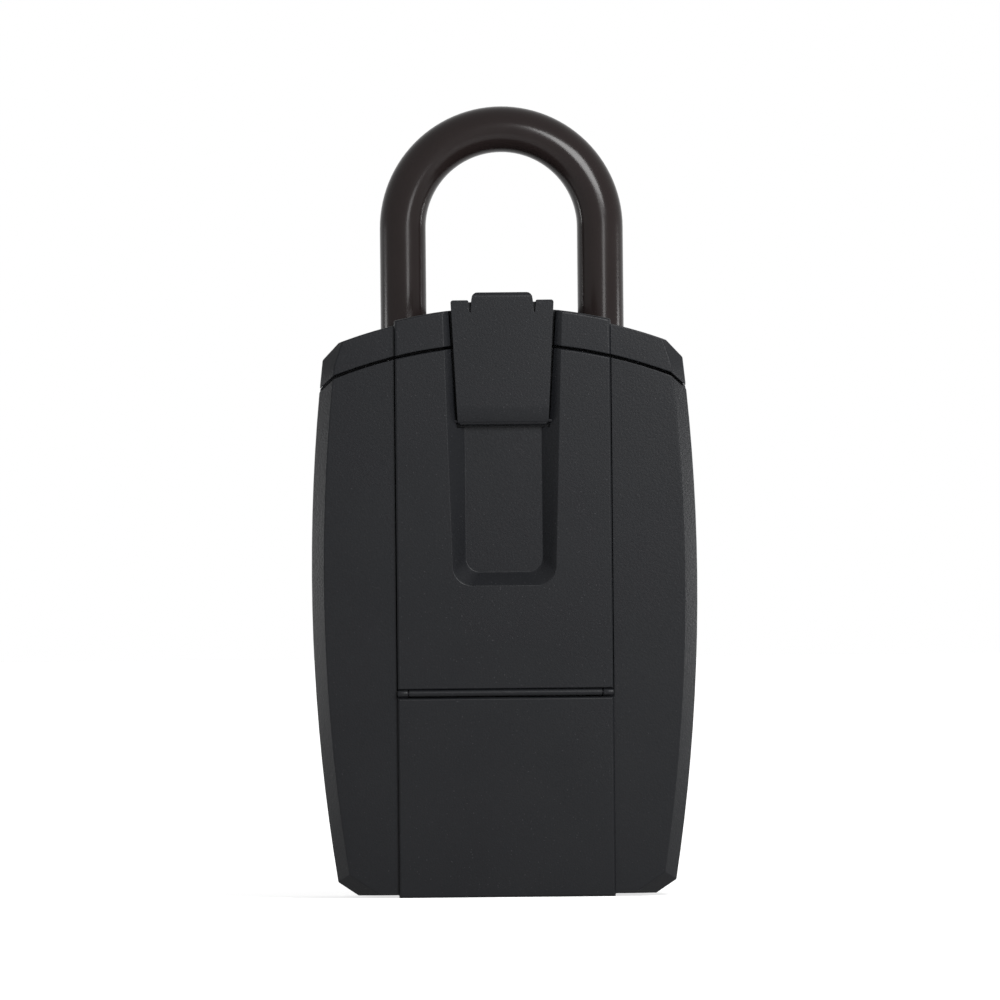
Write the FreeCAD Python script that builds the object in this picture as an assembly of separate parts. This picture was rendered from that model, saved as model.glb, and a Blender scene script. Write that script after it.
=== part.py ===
import FreeCAD, Part
import math
import os

# Portable key lock box. +X is the viewer's right, the front faces -Y, +Z is up.
# The origin is the centre of the base. Every length is in millimetres.
V = FreeCAD.Vector

# ---- outline of the casing, seen from the front ----
half_width = 40.1          # at the widest height
widest_z = 66.0
side_radius = 400.0        # the sides are one long arc
wing_base = 0.6            # underside beside the raised band
base_corner_z = 3.4        # where the side arc meets the lower corner
base_corner_in = 4.2
wing_top = 121.7           # crown of the top, beside the raised band
top_radius = 98.0
shoulder_drop = 9.7        # from that crown to where the side arc meets the upper corner
shoulder_in = 3.4

# ---- depth of the casing ----
half_depth = 25.0          # the hinge barrel in front and the pad behind reach this far
side_bevel = 2.6           # on the front edge of both sides
back_bevel = 3.0           # on the rear edges all round
parting_gap = 0.5          # between the front door and the rear case

# ---- raised band down the middle ----
band_half = 22.5
band_proud = 1.0
band_edge = 0.35           # small bevel on its front corners

# ---- seam between the door and the cap ----
cap_height = 7.0           # from the seam's crown to the top's
seam_radius = 97.0
seam_gap = 1.0
knee_in = 5.1              # the seam turns down to the sides this far inside the half width
knee_slope = 0.9

# ---- clearances ----
rest_gap = 0.3             # between pieces of different bodies
slide_gap = 0.2            # between flat pieces that lie beside each other or slide
cover_gap = 0.3            # around the dial cover
screw_gap = 0.2            # radial, round a screw that passes through
running_fit = 0.05         # radial, for what turns or slides on a pin
snug_fit = 0.02            # radial, for what is pressed or screwed in
root = 1.0                 # how far a boss, web or neck runs into what carries it
over = 1.0                 # how far a cut starts outside the solid

# ---- shells ----
door_wall = 2.2
case_wall = 3.0
cap_wall = 2.0
rib_wall = 1.5             # walls of the bay that the dial cover lies in

# ---- door hinge, along the bottom ----
door_hinge_z = 2.4
knuckle_radius = 1.8
door_pin_radius = 0.75
door_pin_short = 0.2       # at each end of the knuckles
knuckle_count = 5
knuckle_gap = 0.3
hinge_inset = 0.97         # from the casing's lower corners to the outer knuckles
hinge_relief = 3.7         # round the axis, in the rear case
underside_gap = 0.4        # from the knuckles to the raised band's underside
sill_z = 5.2               # lower edge of the dam above the hinge
sill_height = 3.0
sill_depth = 4.0
gasket_width = 1.2
gasket_drop = 0.4          # below the dam's upper edge
gasket_sink = 1.0          # depth of its groove
gasket_proud = 0.2

# ---- dial cover and its hinge ----
cover_hinge_z = 42.5
barrel_radius = 0.7
barrel_proud = 0.25        # in front of the band
cover_pin_radius = 0.35
cover_pin_short = 0.2      # at each end of the barrel
end_knuckle = 2.2          # length of the door's own knuckle at each end
knuckle_web = 1.4          # depth of the web that carries a knuckle
cover_thick = 5.6
cover_wall = 2.2
cover_end_gap = 0.8        # from the hinge axis to the cover's own edge
cover_web = 1.2
cover_edge = 0.25          # small bevel on its front corners
lip_gap = 0.2              # under the barrel
lip_bevel = 0.4            # on the lower panel, under the barrel
plate_gap = 1.0            # between the closed cover and the plate behind
seal_thick = 0.7
seal_inset = 0.5
seal_width = 1.4

# ---- thumb well in the cover and the cap ----
well_depth = 3.0
well_rise = 10.8           # from the dials' axis to the rim
well_rim_base = 10.8       # half width of the rim at the height of its lower corners
well_rim_slope = 0.0392    # the rim widens upwards
well_rim_corner = 4.4
well_floor_half = 8.0
well_floor_rise = 2.8      # from the rim to the floor's lower edge
well_floor_corner = 3.0
well_wall = 1.8
well_headroom = 10.0       # the cut runs on this far above the clip

# ---- clip at the top of the dial cover ----
finger_rise = 4.1          # above the crown of the top
finger_half = 6.65
finger_corner = 1.5
clip_length = 27.7
clip_low_half = 9.25
ear_drop = 1.8             # from the finger's top to the ears'
clip_ear_half = 10.9
clip_thick = 1.5
clip_side_gap = 0.4
clip_corner = 1.0
clip_barrel = 0.95
clip_barrel_gap = 0.25     # from the barrel to the floor of the well
clip_pin_radius = 0.5
clip_pin_half = 13.4
clip_pin_gap = 0.1         # at each end
toe_height = 3.2           # the lower end rolls inwards over this height
slot_width = 0.5
slot_depth = 4.3
hook_reach = 6.0           # from the band's face to the hook's rear edge
hook_edge = 1.0
hook_bevel = 1.2
hook_throat = 0.6
hook_relief = 1.5          # the cap's slope runs on this far behind the hook
hook_slope = 11.0          # degrees, so that the hook clears the cap as the door falls open
leaf_thick = 0.3           # of the spring behind the clip
leaf_half = 3.0
leaf_low = 2.0             # its lower end, its bend and its upper end, above the clip's pin
leaf_bend = 6.0
leaf_high = 14.0
leaf_gap = 0.2             # to the back of the clip

# ---- dials ----
dial_rise = 11.5           # from the cover's hinge to the dials' axis
dial_radius = 8.0
dial_pitch = 9.0
dial_count = 4
dial_width = 7.0
dial_edge = 0.4
dial_core_radius = 4.5
dial_hub_radius = 2.5
dial_recess_radius = 6.2   # on one face, so that the coded collar shows
dial_recess_depth = 1.4
dial_shaft_radius = 2.0
gate_depth = 1.3
gate_width = 2.4
notch_radius = 0.8         # ten finger notches round each wheel
notch_sink = 0.5
notch_count = 10
window_gap = 0.4           # above and below a wheel, at the back of the plate
comb_thick = 0.4
comb_height = 5.1
comb_gap = 0.4             # below the wheels
comb_reach = 5.0           # behind the dials' axis
comb_half = 2.0            # half width of one finger
cheek_thick = 2.5
cheek_half = 3.2           # half height, and depth behind the dials' axis

# ---- lock plate behind the dial cover ----
plate_thick = 1.2
plate_drop = 7.0           # from the wheels to its lower edge
plate_margin = 4.5         # from its screws to its sides
boss_radius = 3.2
boss_gap = 0.65            # from the bay's walls
pillar_radius = 2.8
pillar_in = 3.5            # from the plate's sides
pillar_up = 3.6            # from the plate's lower edge
pillar_down = 12.7         # from the seam's crown
plate_screw_up = 2.0       # from the dials' axis
plate_screw_down = 12.0    # from the upper pillars
screw_radius = 1.1
screw_head_radius = 2.2
screw_head_thick = 1.0
screw_slot_half = 0.25
plate_screw_length = 4.5
pillar_screw_length = 8.0
back_plate_thick = 1.2
back_plate_gap = 0.4       # to the door's inside

# ---- release slide and bolt ----
release_travel = 5.0
knob_rise = 7.0            # from the wheels to the knob
knob_half = 7.0
knob_height = 6.0
knob_thick = 1.4
knob_gap = 0.1             # to the plate
knob_corner = 0.5
neck_half = 2.0
neck_height = 4.0
neck_root = 0.5
bolt_half = 5.0
bolt_thick = 2.0
bolt_rise = 4.0            # from the wheels to its lower end
bolt_sink = 1.0            # how far the drawn bolt stays below the door's top edge
bolt_bevel = 0.6
guide_width = 2.0
guide_up = 15.0            # from the knob's lower edge
guide_down = 14.7          # from the seam's crown
guide_lip = 0.8            # behind the bolt
gate_margin = 2.5          # beyond the middle of the outer wheels
gate_thick = 1.0
gate_leg_height = 4.0
gate_leg_in = 1.0          # from the bolt's sides
ear_reach = 7.5            # from the bolt's side to the end of its spring ear
ear_up = 7.0               # from the knob's lower edge to the ear's upper face
ear_height = 2.0
peg_up = 16.0              # from the ear to the peg above it
peg_height = 2.0
peg_proud = 2.0            # behind the bolt
bolt_spring_in = 1.8       # from the end of the ear
bolt_spring_radius = 1.4
bolt_spring_turns = 10
bolt_spring_gap = 0.1      # to the bolt's back

# ---- code lever ----
lever_travel = 6.0
lever_up = 2.0             # from the lock plate's lower edge
lever_half = 6.0
lever_height = 4.0
lever_neck_half = 1.5
lever_neck_height = 2.4
lever_knob_half = 2.5
lever_knob_thick = 1.5
lever_knob_corner = 0.4
lever_knob_root = 0.3

# ---- shackle ----
leg_in = 19.5              # from the casing's half width to the middle of each leg
leg_setback = 11.0         # behind the parting
bow_rise = 17.8            # from the crown of the top to the centre of the bow
rod_radius = 4.0
sleeve_wall = 0.8
sleeve_sink = 4.2          # its ends lie this far below the crown of the top
toe_depth = 22.7           # below the crown of the top
heel_drop = 22.5           # the heel reaches this far below the toe
lift = 23.0
leg_bevel = 0.6
ring_wall = 1.2            # beyond the rod
ring_thick = 1.5
ring_above_end = 1.4
ring_bite = 0.7            # depth of its groove in the leg

# ---- lock block that holds the shackle ----
block_height = 11.7        # below the seam's crown
block_setback = 3.25       # behind the case's front edge
block_in = 6.1             # from the casing's half width
block_inset = 2.2          # inside the cap
block_side_gap = 0.1       # to the case's walls
block_back_gap = 0.05      # to the case's back wall
leg_boss_wall = 3.0
boss_root = 3.0
toe_floor = 1.6
toe_gap = 0.4              # under the toe
heel_boss_below = 1.5
seal_drop = 4.0            # from the top's surface over its outer edge
seal_seat_wall = 2.5
seal_ring_thick = 1.6
seal_fit = 0.1             # radial
block_screw_in = 4.5
block_screw_drop = 2.7     # from the cap's edge over the screw's head
block_screw_radius = 1.5
block_screw_head = 2.8
block_screw_head_thick = 1.6
block_screw_bite = 1.8     # into the case's back wall
block_screw_hole_end = 0.2
block_screw_slot_half = 0.4
cap_screw_x = 14.0
cap_screw_setback = 8.0    # behind the well's wall
cap_screw_length = 4.6
cap_screw_cover = 0.8      # left above the tip of the hole

# ---- shackle catch ----
catch_travel = 2.5
catch_half = 2.5
catch_height = 4.2
catch_tail_x = 2.0
catch_back = 0.4           # the drawn catch stays this far short of the leg
catch_bevel = 0.5
notch_clear = 0.35
catch_tab_in = 1.0         # from the tail
catch_tab_width = 4.0
catch_tab_half = 2.0
catch_tab_drop = 8.0       # below the block
catch_tab_corner = 0.8
catch_room = 8.0           # behind the tail, for its spring
catch_plate_thick = 1.6
catch_plate_half = 6.4
catch_plate_past = 3.5     # beyond the spring's room
catch_plate_gap = 1.0      # to the toe's boss
catch_screw_margin = 1.8
catch_screw_off = 4.6      # from the plane of the legs
catch_screw_bite = 4.0
catch_screw_head = 1.6
catch_screw_head_thick = 0.8
catch_spring_radius = 1.4
catch_spring_turns = 8
spring_wire = 0.2          # radius

# ---- pad on the back ----
pad_in = 13.1              # from the casing's half width
pad_low_z = 14.0
pad_drop = 10.7            # from the seam's crown
pad_proud = 1.0
pad_sink = 1.0
pad_corner = 8.0

# ---- the curves of the casing ----
def side_x(z):
    return half_width - side_radius + math.sqrt(side_radius ** 2 - (z - widest_z) ** 2)


def crown_z(x, apex):
    return apex - top_radius + math.sqrt(top_radius ** 2 - x ** 2)


def cap_edge_z(x):
    """The cap's lower edge, above the seam."""
    return seam_centre_z + math.sqrt((seam_radius + seam_gap) ** 2 - x ** 2)


# ---- places worked out from the sizes above: front to back ----
band_y = -half_depth + barrel_proud
wing_y = band_y + band_proud
cover_axis_y = -half_depth + barrel_radius
cover_back_y = band_y + cover_thick
clip_back_y = band_y + clip_thick
hook_rear_y = band_y + hook_reach
well_floor_y = band_y + well_depth
well_back_y = well_floor_y + well_wall
clip_axis_y = well_floor_y - clip_barrel - clip_barrel_gap
plate_y = cover_back_y + plate_gap
plate_back_y = plate_y + plate_thick
knob_y = plate_y - knob_gap
bolt_y = plate_back_y + rest_gap
bolt_back_y = bolt_y + bolt_thick
dial_y = band_y + cover_wall + rest_gap + dial_radius
gate_y = dial_y + dial_radius + rest_gap
gate_back_y = gate_y + gate_thick
back_plate_y = gate_back_y + rest_gap
back_plate_rear_y = back_plate_y + back_plate_thick
door_back_y = back_plate_rear_y + slide_gap
parting_y = door_back_y + parting_gap / 2
case_front_y = parting_y + parting_gap / 2
block_front_y = case_front_y + block_setback
leg_y = parting_y + leg_setback
back_y = half_depth - pad_proud
inner_back_y = back_y - case_wall
block_rear_y = inner_back_y - block_back_gap
cap_screw_y = well_back_y + cap_screw_setback
catch_screw_y = leg_y - catch_screw_off

# ---- places worked out: left to right ----
knee_x = half_width - knee_in
cover_half = band_half - cover_gap / 2
bay_half = band_half + cover_gap / 2
frame_half = bay_half + rib_wall
plate_screw_x = frame_half + boss_gap + boss_radius
plate_half = plate_screw_x + plate_margin
pillar_x = plate_half - pillar_in
dial_x = [(i - (dial_count - 1) / 2) * dial_pitch for i in range(dial_count)]
dial_hub_width = dial_pitch - slide_gap
cheek_x = dial_x[-1] + dial_hub_width / 2 + slide_gap
gate_half = dial_x[-1] + gate_margin
guide_x = bolt_half + rest_gap
ear_x = bolt_half + ear_reach
block_half = half_width - block_in
block_screw_x = block_half - block_screw_in
pad_half = half_width - pad_in
leg_x = half_width - leg_in
sleeve_radius = rod_radius + sleeve_wall
ring_radius = rod_radius + ring_wall
groove_radius = rod_radius - ring_bite
leg_boss_radius = rod_radius + leg_boss_wall
seal_seat_radius = rod_radius + seal_seat_wall
cap_hole_radius = sleeve_radius + rest_gap
toe_face_x = leg_x - rod_radius
catch_tip_x = toe_face_x - catch_back
catch_tab_x = (catch_tail_x + catch_tab_in, catch_tail_x + catch_tab_in + catch_tab_width)
catch_channel_x = catch_tail_x - catch_room
catch_plate_x = (catch_channel_x - catch_plate_past, leg_x - leg_boss_radius - catch_plate_gap)
catch_screw_x = (catch_plate_x[0] + catch_screw_margin, catch_plate_x[1] - catch_screw_margin)

# ---- places worked out: bottom to top ----
dial_z = cover_hinge_z + dial_rise
lip_z = cover_hinge_z - barrel_radius - lip_gap
cover_low_z = cover_hinge_z + cover_end_gap
wheel_low_z = dial_z - dial_radius
wheel_top_z = dial_z + dial_radius
plate_low_z = wheel_low_z - plate_drop
lever_z = plate_low_z + lever_up
well_rim_z = dial_z + well_rise
well_floor_z = well_rim_z + well_floor_rise
bolt_low_z = wheel_top_z + bolt_rise
knob_z = wheel_top_z + knob_rise
ear_z = knob_z + ear_up
peg_z = ear_z + peg_up
seam_top_z = wing_top - cap_height
seam_centre_z = seam_top_z - seam_radius
shoulder_z = wing_top - shoulder_drop
guide_z = (knob_z + guide_up, seam_top_z - guide_down)
pillar_z = (plate_low_z + pillar_up, seam_top_z - pillar_down)
plate_screw_z = (dial_z + plate_screw_up, pillar_z[1] - plate_screw_down)
bolt_top_z = seam_top_z - bolt_sink
finger_top = wing_top + finger_rise
clip_ear_z = finger_top - ear_drop
slot_base_z = finger_top - slot_depth
clip_low_z = finger_top - clip_length
clip_axis_z = clip_low_z + clip_barrel
block_low_z = seam_top_z - block_height
block_screw_z = cap_edge_z(block_screw_x + block_screw_head) - block_screw_drop
catch_z = block_low_z + rest_gap
catch_tab_z = block_low_z - catch_tab_drop
bow_z = wing_top + bow_rise
sleeve_low_z = wing_top - sleeve_sink
seal_ring_z = crown_z(leg_x + seal_seat_radius, wing_top) - seal_drop
toe_end_z = wing_top - toe_depth
toe_boss_z = toe_end_z - toe_gap - toe_floor
heel_end_z = toe_end_z - heel_drop
heel_boss_z = heel_end_z - heel_boss_below
ring_z = heel_end_z + ring_above_end
pad_z = (pad_low_z, seam_top_z - pad_drop)
far = 200.0                # beyond the object on any side
near = 0.01                # an edge this close to a plane lies in it


# ---- shapes used by many pieces ----
def block(x, y, z):
    """A box between two limits on each axis."""
    return Part.makeBox(x[1] - x[0], y[1] - y[0], z[1] - z[0], V(x[0], y[0], z[0]))


def x_rod(x, y, z, radius):
    return Part.makeCylinder(radius, x[1] - x[0], V(x[0], y, z), V(1, 0, 0))


def y_rod(x, y, z, radius):
    return Part.makeCylinder(radius, y[1] - y[0], V(x, y[0], z), V(0, 1, 0))


def z_rod(x, y, z, radius):
    return Part.makeCylinder(radius, z[1] - z[0], V(x, y, z[0]), V(0, 0, 1))


def arc(start, middle, end):
    return Part.Arc(start, middle, end).toShape()


def line(start, end):
    return Part.LineSegment(start, end).toShape()


def mirrored_x(shape):
    return shape.mirror(V(0, 0, 0), V(1, 0, 0))


def both_sides(shape):
    """The shape and its mirror image, in one compound."""
    return Part.makeCompound([shape, mirrored_x(shape)])


def fuse_all(shapes):
    return shapes[0].multiFuse(shapes[1:]).removeSplitter()


def prism_y(face, y):
    """A face in the plane y = 0, drawn out between two depths."""
    solid = face.extrude(V(0, y[1] - y[0], 0))
    return solid.translated(V(0, y[0], 0))


def prism_x(points, x):
    """A polygon of (y, z) points, drawn out between two places along X."""
    corners = [V(x[0], py, pz) for py, pz in points]
    wire = Part.makePolygon(corners + corners[:1])
    return Part.Face(wire).extrude(V(x[1] - x[0], 0, 0))


def edges_where(shape, test):
    """The edges whose box passes a test."""
    return [edge for edge in shape.Edges if test(edge.BoundBox)]


def softened(shape, radius, test):
    """The shape with the edges that pass the test rounded."""
    return shape.makeFillet(radius, edges_where(shape, test))


def coil(radius, wire, length, turns):
    """A round wire wound along +Z from the origin."""
    path = Part.makeHelix(length / turns, length, radius)
    ring = Part.Wire(Part.makeCircle(wire, V(radius, 0, 0), V(0, 1, 0)))
    return Part.Wire(path.Edges).makePipeShell([ring], True, True)


def screw(x, y, z, length):
    """A pan-head screw along Y, its head's underside at y and its shank towards -Y."""
    top = y + screw_head_thick
    shank = y_rod(x, (y - length, y), z, screw_radius)
    head = y_rod(x, (y, top), z, screw_head_radius)
    slot = block((x - screw_head_radius, x + screw_head_radius), (y + screw_head_thick / 2, top),
                 (z - screw_slot_half, z + screw_slot_half))
    return shank.fuse(head).cut(slot)


# ---- the casing as one solid, before it is split into door, case and cap ----
def flip(point):
    return V(-point.x, point.y, point.z)


def outline(inset=0.0):
    """The casing's front outline, drawn in by an even wall."""
    lower = V(side_x(base_corner_z), 0, base_corner_z)
    foot = V(lower.x - base_corner_in, 0, wing_base)
    middle = V(half_width, 0, widest_z)
    upper = V(side_x(shoulder_z), 0, shoulder_z)
    shoulder_x = upper.x - shoulder_in
    shoulder = V(shoulder_x, 0, crown_z(shoulder_x, wing_top))
    wire = Part.Wire([
        line(foot, lower),
        arc(lower, middle, upper),
        line(upper, shoulder),
        arc(shoulder, V(0, 0, wing_top), flip(shoulder)),
        line(flip(shoulder), flip(upper)),
        arc(flip(upper), flip(middle), flip(lower)),
        line(flip(lower), flip(foot)),
        line(flip(foot), foot),
    ])
    face = Part.Face(wire)
    return face.makeOffset2D(-inset, 2) if inset else face


def band_outline():
    """The raised band's front outline."""
    top = crown_z(band_half, wing_top + band_proud)
    low, high = V(band_half, 0, 0), V(band_half, 0, top)
    crown = arc(high, V(0, 0, wing_top + band_proud), flip(high))
    return Part.Face(Part.Wire([line(flip(low), low), line(low, high), crown, line(flip(high), flip(low))]))


def below_seam(drop=0.0):
    """All that lies lower than the seam, less a drop along the seam's radius."""
    radius = seam_radius - drop
    knee_z = seam_centre_z + math.sqrt(radius ** 2 - knee_x ** 2)
    far_z = knee_z - knee_slope * (far / 2 - knee_x)
    right = [V(knee_x, 0, knee_z), V(far / 2, 0, far_z), V(far / 2, 0, -far)]
    left = [flip(point) for point in right]
    crown = arc(left[0], V(0, 0, seam_centre_z + radius), right[0])
    sides = [line(right[0], right[1]), line(right[1], right[2]), line(right[2], left[2])]
    sides += [line(left[2], left[1]), line(left[1], left[0])]
    return prism_y(Part.Face(Part.Wire([crown] + sides)), (-far, far))


def casing():
    """The whole outer form: the two wings and the raised band."""
    wings = prism_y(outline(), (wing_y, back_y))
    at_front = lambda b: b.YMax < wing_y + near and abs(b.Center.x) > band_half
    wings = wings.makeChamfer(side_bevel, edges_where(wings, at_front))
    wings = wings.makeChamfer(back_bevel, edges_where(wings, lambda b: b.YMin > back_y - near))
    band = prism_y(band_outline(), (band_y, back_y))
    band = band.makeChamfer(band_edge, edges_where(band, lambda b: b.YMax < band_y + near))
    at_back = lambda b: b.YMin > back_y - near and b.XLength > band_half
    band = band.makeChamfer(back_bevel, edges_where(band, at_back))
    return fuse_all([wings, band])


CASING = casing()


# ---- the thumb well and the room for the clip, cut from the cover and the cap ----
def well_wire(y, half_low, slope, low_z, corner, high_z):
    """The well's outline at one depth: upright sides that spread, and two round corners."""
    corner_z = low_z + corner
    half_high = half_low + slope * (high_z - corner_z)
    turn = corner * math.sqrt(0.5)
    right = V(half_low, y, corner_z)
    base = V(half_low - corner, y, low_z)
    bend = V(half_low - corner + turn, y, corner_z - turn)
    top = V(half_high, y, high_z)
    return Part.Wire([
        line(top, right),
        arc(right, bend, base),
        line(base, flip(base)),
        arc(flip(base), flip(bend), flip(right)),
        line(flip(right), flip(top)),
        line(flip(top), top),
    ])


def thumb_well():
    """The sloping well, from just in front of the band down to its floor."""
    spread = (well_rim_base - well_floor_half) / well_depth
    fall = well_floor_rise / well_depth
    high_z = finger_top + well_headroom
    rim = well_wire(band_y - over, well_rim_base + spread * over, well_rim_slope,
                    well_rim_z - fall * over, well_rim_corner, high_z)
    floor = well_wire(well_floor_y, well_floor_half, 0.0, well_floor_z, well_floor_corner, high_z)
    return Part.makeLoft([rim, floor], True, True)


def clip_face(gap=0.0, top_z=None):
    """The clip's outline in front view, grown by a gap, up to a height."""
    slope = (clip_ear_half - clip_low_half) / (clip_ear_z - clip_low_z)
    low_z = clip_low_z - gap
    high_z = clip_ear_z if top_z is None else top_z
    low_half = clip_low_half + gap
    high_half = low_half + slope * (high_z - low_z)
    low, high = V(low_half, 0, low_z), V(high_half, 0, high_z)
    return Part.Face(Part.makePolygon([flip(low), low, high, flip(high), flip(low)]))


def clip_room():
    """The straight-sided pocket that the clip lies in."""
    return prism_y(clip_face(clip_side_gap, finger_top + well_headroom), (band_y - over, well_floor_y))


WELL = thumb_well().fuse(clip_room())


# ---- front door ----
def knuckle_places():
    """The X limits of the hinge's knuckles, from the left. Every second one is the case's."""
    foot_x = side_x(base_corner_z) - base_corner_in
    first = hinge_inset - foot_x
    step = -2 * first / knuckle_count
    starts = [first + i * step for i in range(knuckle_count)]
    return [(start + knuckle_gap / 2, start + step - knuckle_gap / 2) for start in starts]


def front_shell():
    inside = prism_y(outline(door_wall), (wing_y + door_wall, far)).common(below_seam(door_wall))
    shell = CASING.common(block((-far, far), (-far, door_back_y), (-far, far)))
    shell = shell.common(below_seam()).cut(inside)
    bay = block((-bay_half, bay_half), (-far, plate_y), (lip_z, far))
    frame = block((-frame_half, frame_half), (wing_y + root, plate_y), (lip_z - rib_wall, far))
    frame = frame.common(below_seam())
    dam_half = side_x(sill_z) - door_wall / 2
    dam_y = (door_back_y - sill_depth, door_back_y)
    dam = block((-dam_half, dam_half), dam_y, (sill_z, sill_z + sill_height))
    bosses = [
        y_rod(side * plate_screw_x, (wing_y + root, plate_y), z, boss_radius)
        for side in (-1, 1) for z in plate_screw_z
    ]
    shell = fuse_all([shell, frame, dam] + bosses).cut(bay)
    lip = [(band_y - over, lip_z + over), (band_y - over, lip_z - lip_bevel - over),
           (band_y + lip_bevel + over, lip_z + over)]
    shell = shell.cut(prism_x(lip, (-bay_half, bay_half)))
    underside = block((-far, far), (parting_y - knuckle_radius - underside_gap, far), (-far, wing_base))
    shell = shell.cut(underside)
    for i, place in enumerate(knuckle_places()):
        if i % 2 == 0:
            shell = shell.fuse(x_rod(place, parting_y, door_hinge_z, knuckle_radius))
        else:
            room = (place[0] - knuckle_gap, place[1] + knuckle_gap)
            shell = shell.cut(x_rod(room, parting_y, door_hinge_z, knuckle_radius + rest_gap))
    pin_half = knuckle_places()[-1][1] + over
    shell = shell.cut(x_rod((-pin_half, pin_half), parting_y, door_hinge_z, door_pin_radius + running_fit))
    slot = block((-guide_x, guide_x), (plate_back_y, bolt_back_y + rest_gap), (guide_z[1], far))
    shell = shell.cut(slot)
    for side in (-1, 1):
        for z in plate_screw_z:
            hole_y = (wing_y + door_wall, plate_y)
            shell = shell.cut(y_rod(side * plate_screw_x, hole_y, z, screw_radius + snug_fit))
    return shell.removeSplitter()


def cover_knuckles():
    """The two ends of the dial cover's hinge, on the door."""
    reach = band_half
    start = band_half - end_knuckle
    barrel = x_rod((start, reach), cover_axis_y, cover_hinge_z, barrel_radius)
    web = block((start, reach), (cover_axis_y, cover_axis_y + knuckle_web), (lip_z - root, cover_hinge_z))
    knuckle = barrel.fuse(web)
    knuckle = knuckle.cut(x_rod((0, far), cover_axis_y, cover_hinge_z, cover_pin_radius + snug_fit))
    return [knuckle, mirrored_x(knuckle)]


def door():
    return fuse_all([front_shell()] + cover_knuckles())


def door_hinge_pin():
    half = knuckle_places()[-1][1] - door_pin_short
    return x_rod((-half, half), parting_y, door_hinge_z, door_pin_radius)


# ---- dial cover ----
def dial_cover():
    slab = block((-cover_half, cover_half), (band_y, cover_back_y), (cover_low_z, far)).common(below_seam())
    slab = slab.makeChamfer(cover_edge, edges_where(slab, lambda b: b.YMax < band_y + near))
    pocket_half = cover_half - cover_wall
    pocket_y = (band_y + cover_wall, cover_back_y)
    pocket = block((-pocket_half, pocket_half), pocket_y, (cover_low_z + cover_wall, far))
    pocket = pocket.common(below_seam(cover_wall))
    backing_wire = well_wire(0, well_rim_base + well_wall, well_rim_slope, well_rim_z - well_wall,
                             well_rim_corner + well_wall, far)
    backing = prism_y(Part.Face(backing_wire), (-far, well_back_y))
    cover = slab.cut(pocket.cut(backing)).cut(WELL)
    barrel_half = band_half - end_knuckle - slide_gap
    barrel = x_rod((-barrel_half, barrel_half), cover_axis_y, cover_hinge_z, barrel_radius)
    web = block((-barrel_half, barrel_half), (cover_axis_y, cover_axis_y + cover_web),
                (cover_hinge_z, cover_low_z + cover_wall / 2))
    cover = fuse_all([cover, barrel, web])
    cover = cover.cut(x_rod((-far, far), cover_axis_y, cover_hinge_z, cover_pin_radius + running_fit))
    pin_room = clip_pin_half + clip_pin_gap
    return cover.cut(x_rod((-pin_room, pin_room), clip_axis_y, clip_axis_z, clip_pin_radius + snug_fit))


def cover_hinge_pin():
    half = band_half - cover_pin_short
    return x_rod((-half, half), cover_axis_y, cover_hinge_z, cover_pin_radius)


def cover_seal():
    outer_half = cover_half - seal_inset
    inner_half = outer_half - seal_width
    low_z = cover_low_z + seal_inset
    outer = block((-outer_half, outer_half), (cover_back_y, cover_back_y + seal_thick), (low_z, far))
    inner = block((-inner_half, inner_half), (-far, far), (low_z + seal_width, far))
    return outer.common(below_seam(seal_inset)).cut(inner.common(below_seam(seal_inset + seal_width)))


# ---- clip ----
def hook_under_z(y):
    """The underside of the hook: a slope that rises towards the back."""
    rise = math.tan(math.radians(hook_slope))
    return wing_top + band_proud + cover_gap + (y - hook_rear_y) * rise


def clip_side():
    """The clip in side view, as a solid much wider than the clip."""
    roll_z = clip_low_z + toe_height
    chin = V(0, clip_axis_y, clip_low_z)
    heel = V(0, clip_axis_y + clip_barrel, clip_axis_z)
    crest = V(0, clip_axis_y, clip_axis_z + clip_barrel)
    turn = math.sqrt(0.5)
    roll_mid = V(0, clip_axis_y - turn * (clip_axis_y - band_y), roll_z - turn * toe_height)
    barrel_low = V(0, clip_axis_y + turn * clip_barrel, clip_axis_z - turn * clip_barrel)
    barrel_high = V(0, clip_axis_y + turn * clip_barrel, clip_axis_z + turn * clip_barrel)
    front_low = V(0, band_y, roll_z)
    front_high = V(0, band_y, finger_top - finger_corner)
    top = V(0, band_y + finger_corner, finger_top)
    top_mid = V(0, band_y + finger_corner * (1 - turn), finger_top - finger_corner * (1 - turn))
    rear_top = V(0, hook_rear_y - hook_bevel, finger_top)
    rear = V(0, hook_rear_y, hook_under_z(hook_rear_y) + hook_edge)
    tip = V(0, hook_rear_y, hook_under_z(hook_rear_y))
    under = V(0, clip_back_y + hook_throat, hook_under_z(clip_back_y + hook_throat))
    throat = V(0, clip_back_y, under.z - hook_throat)
    wire = Part.Wire([
        line(front_high, front_low),
        arc(front_low, roll_mid, chin),
        arc(chin, barrel_low, heel),
        arc(heel, barrel_high, crest),
        line(crest, V(0, clip_back_y, crest.z)),
        line(V(0, clip_back_y, crest.z), throat),
        line(throat, under),
        line(under, tip),
        line(tip, rear),
        line(rear, rear_top),
        line(rear_top, top),
        arc(top, top_mid, front_high),
    ])
    return Part.Face(wire).extrude(V(far, 0, 0)).translated(V(-far / 2, 0, 0))


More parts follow.
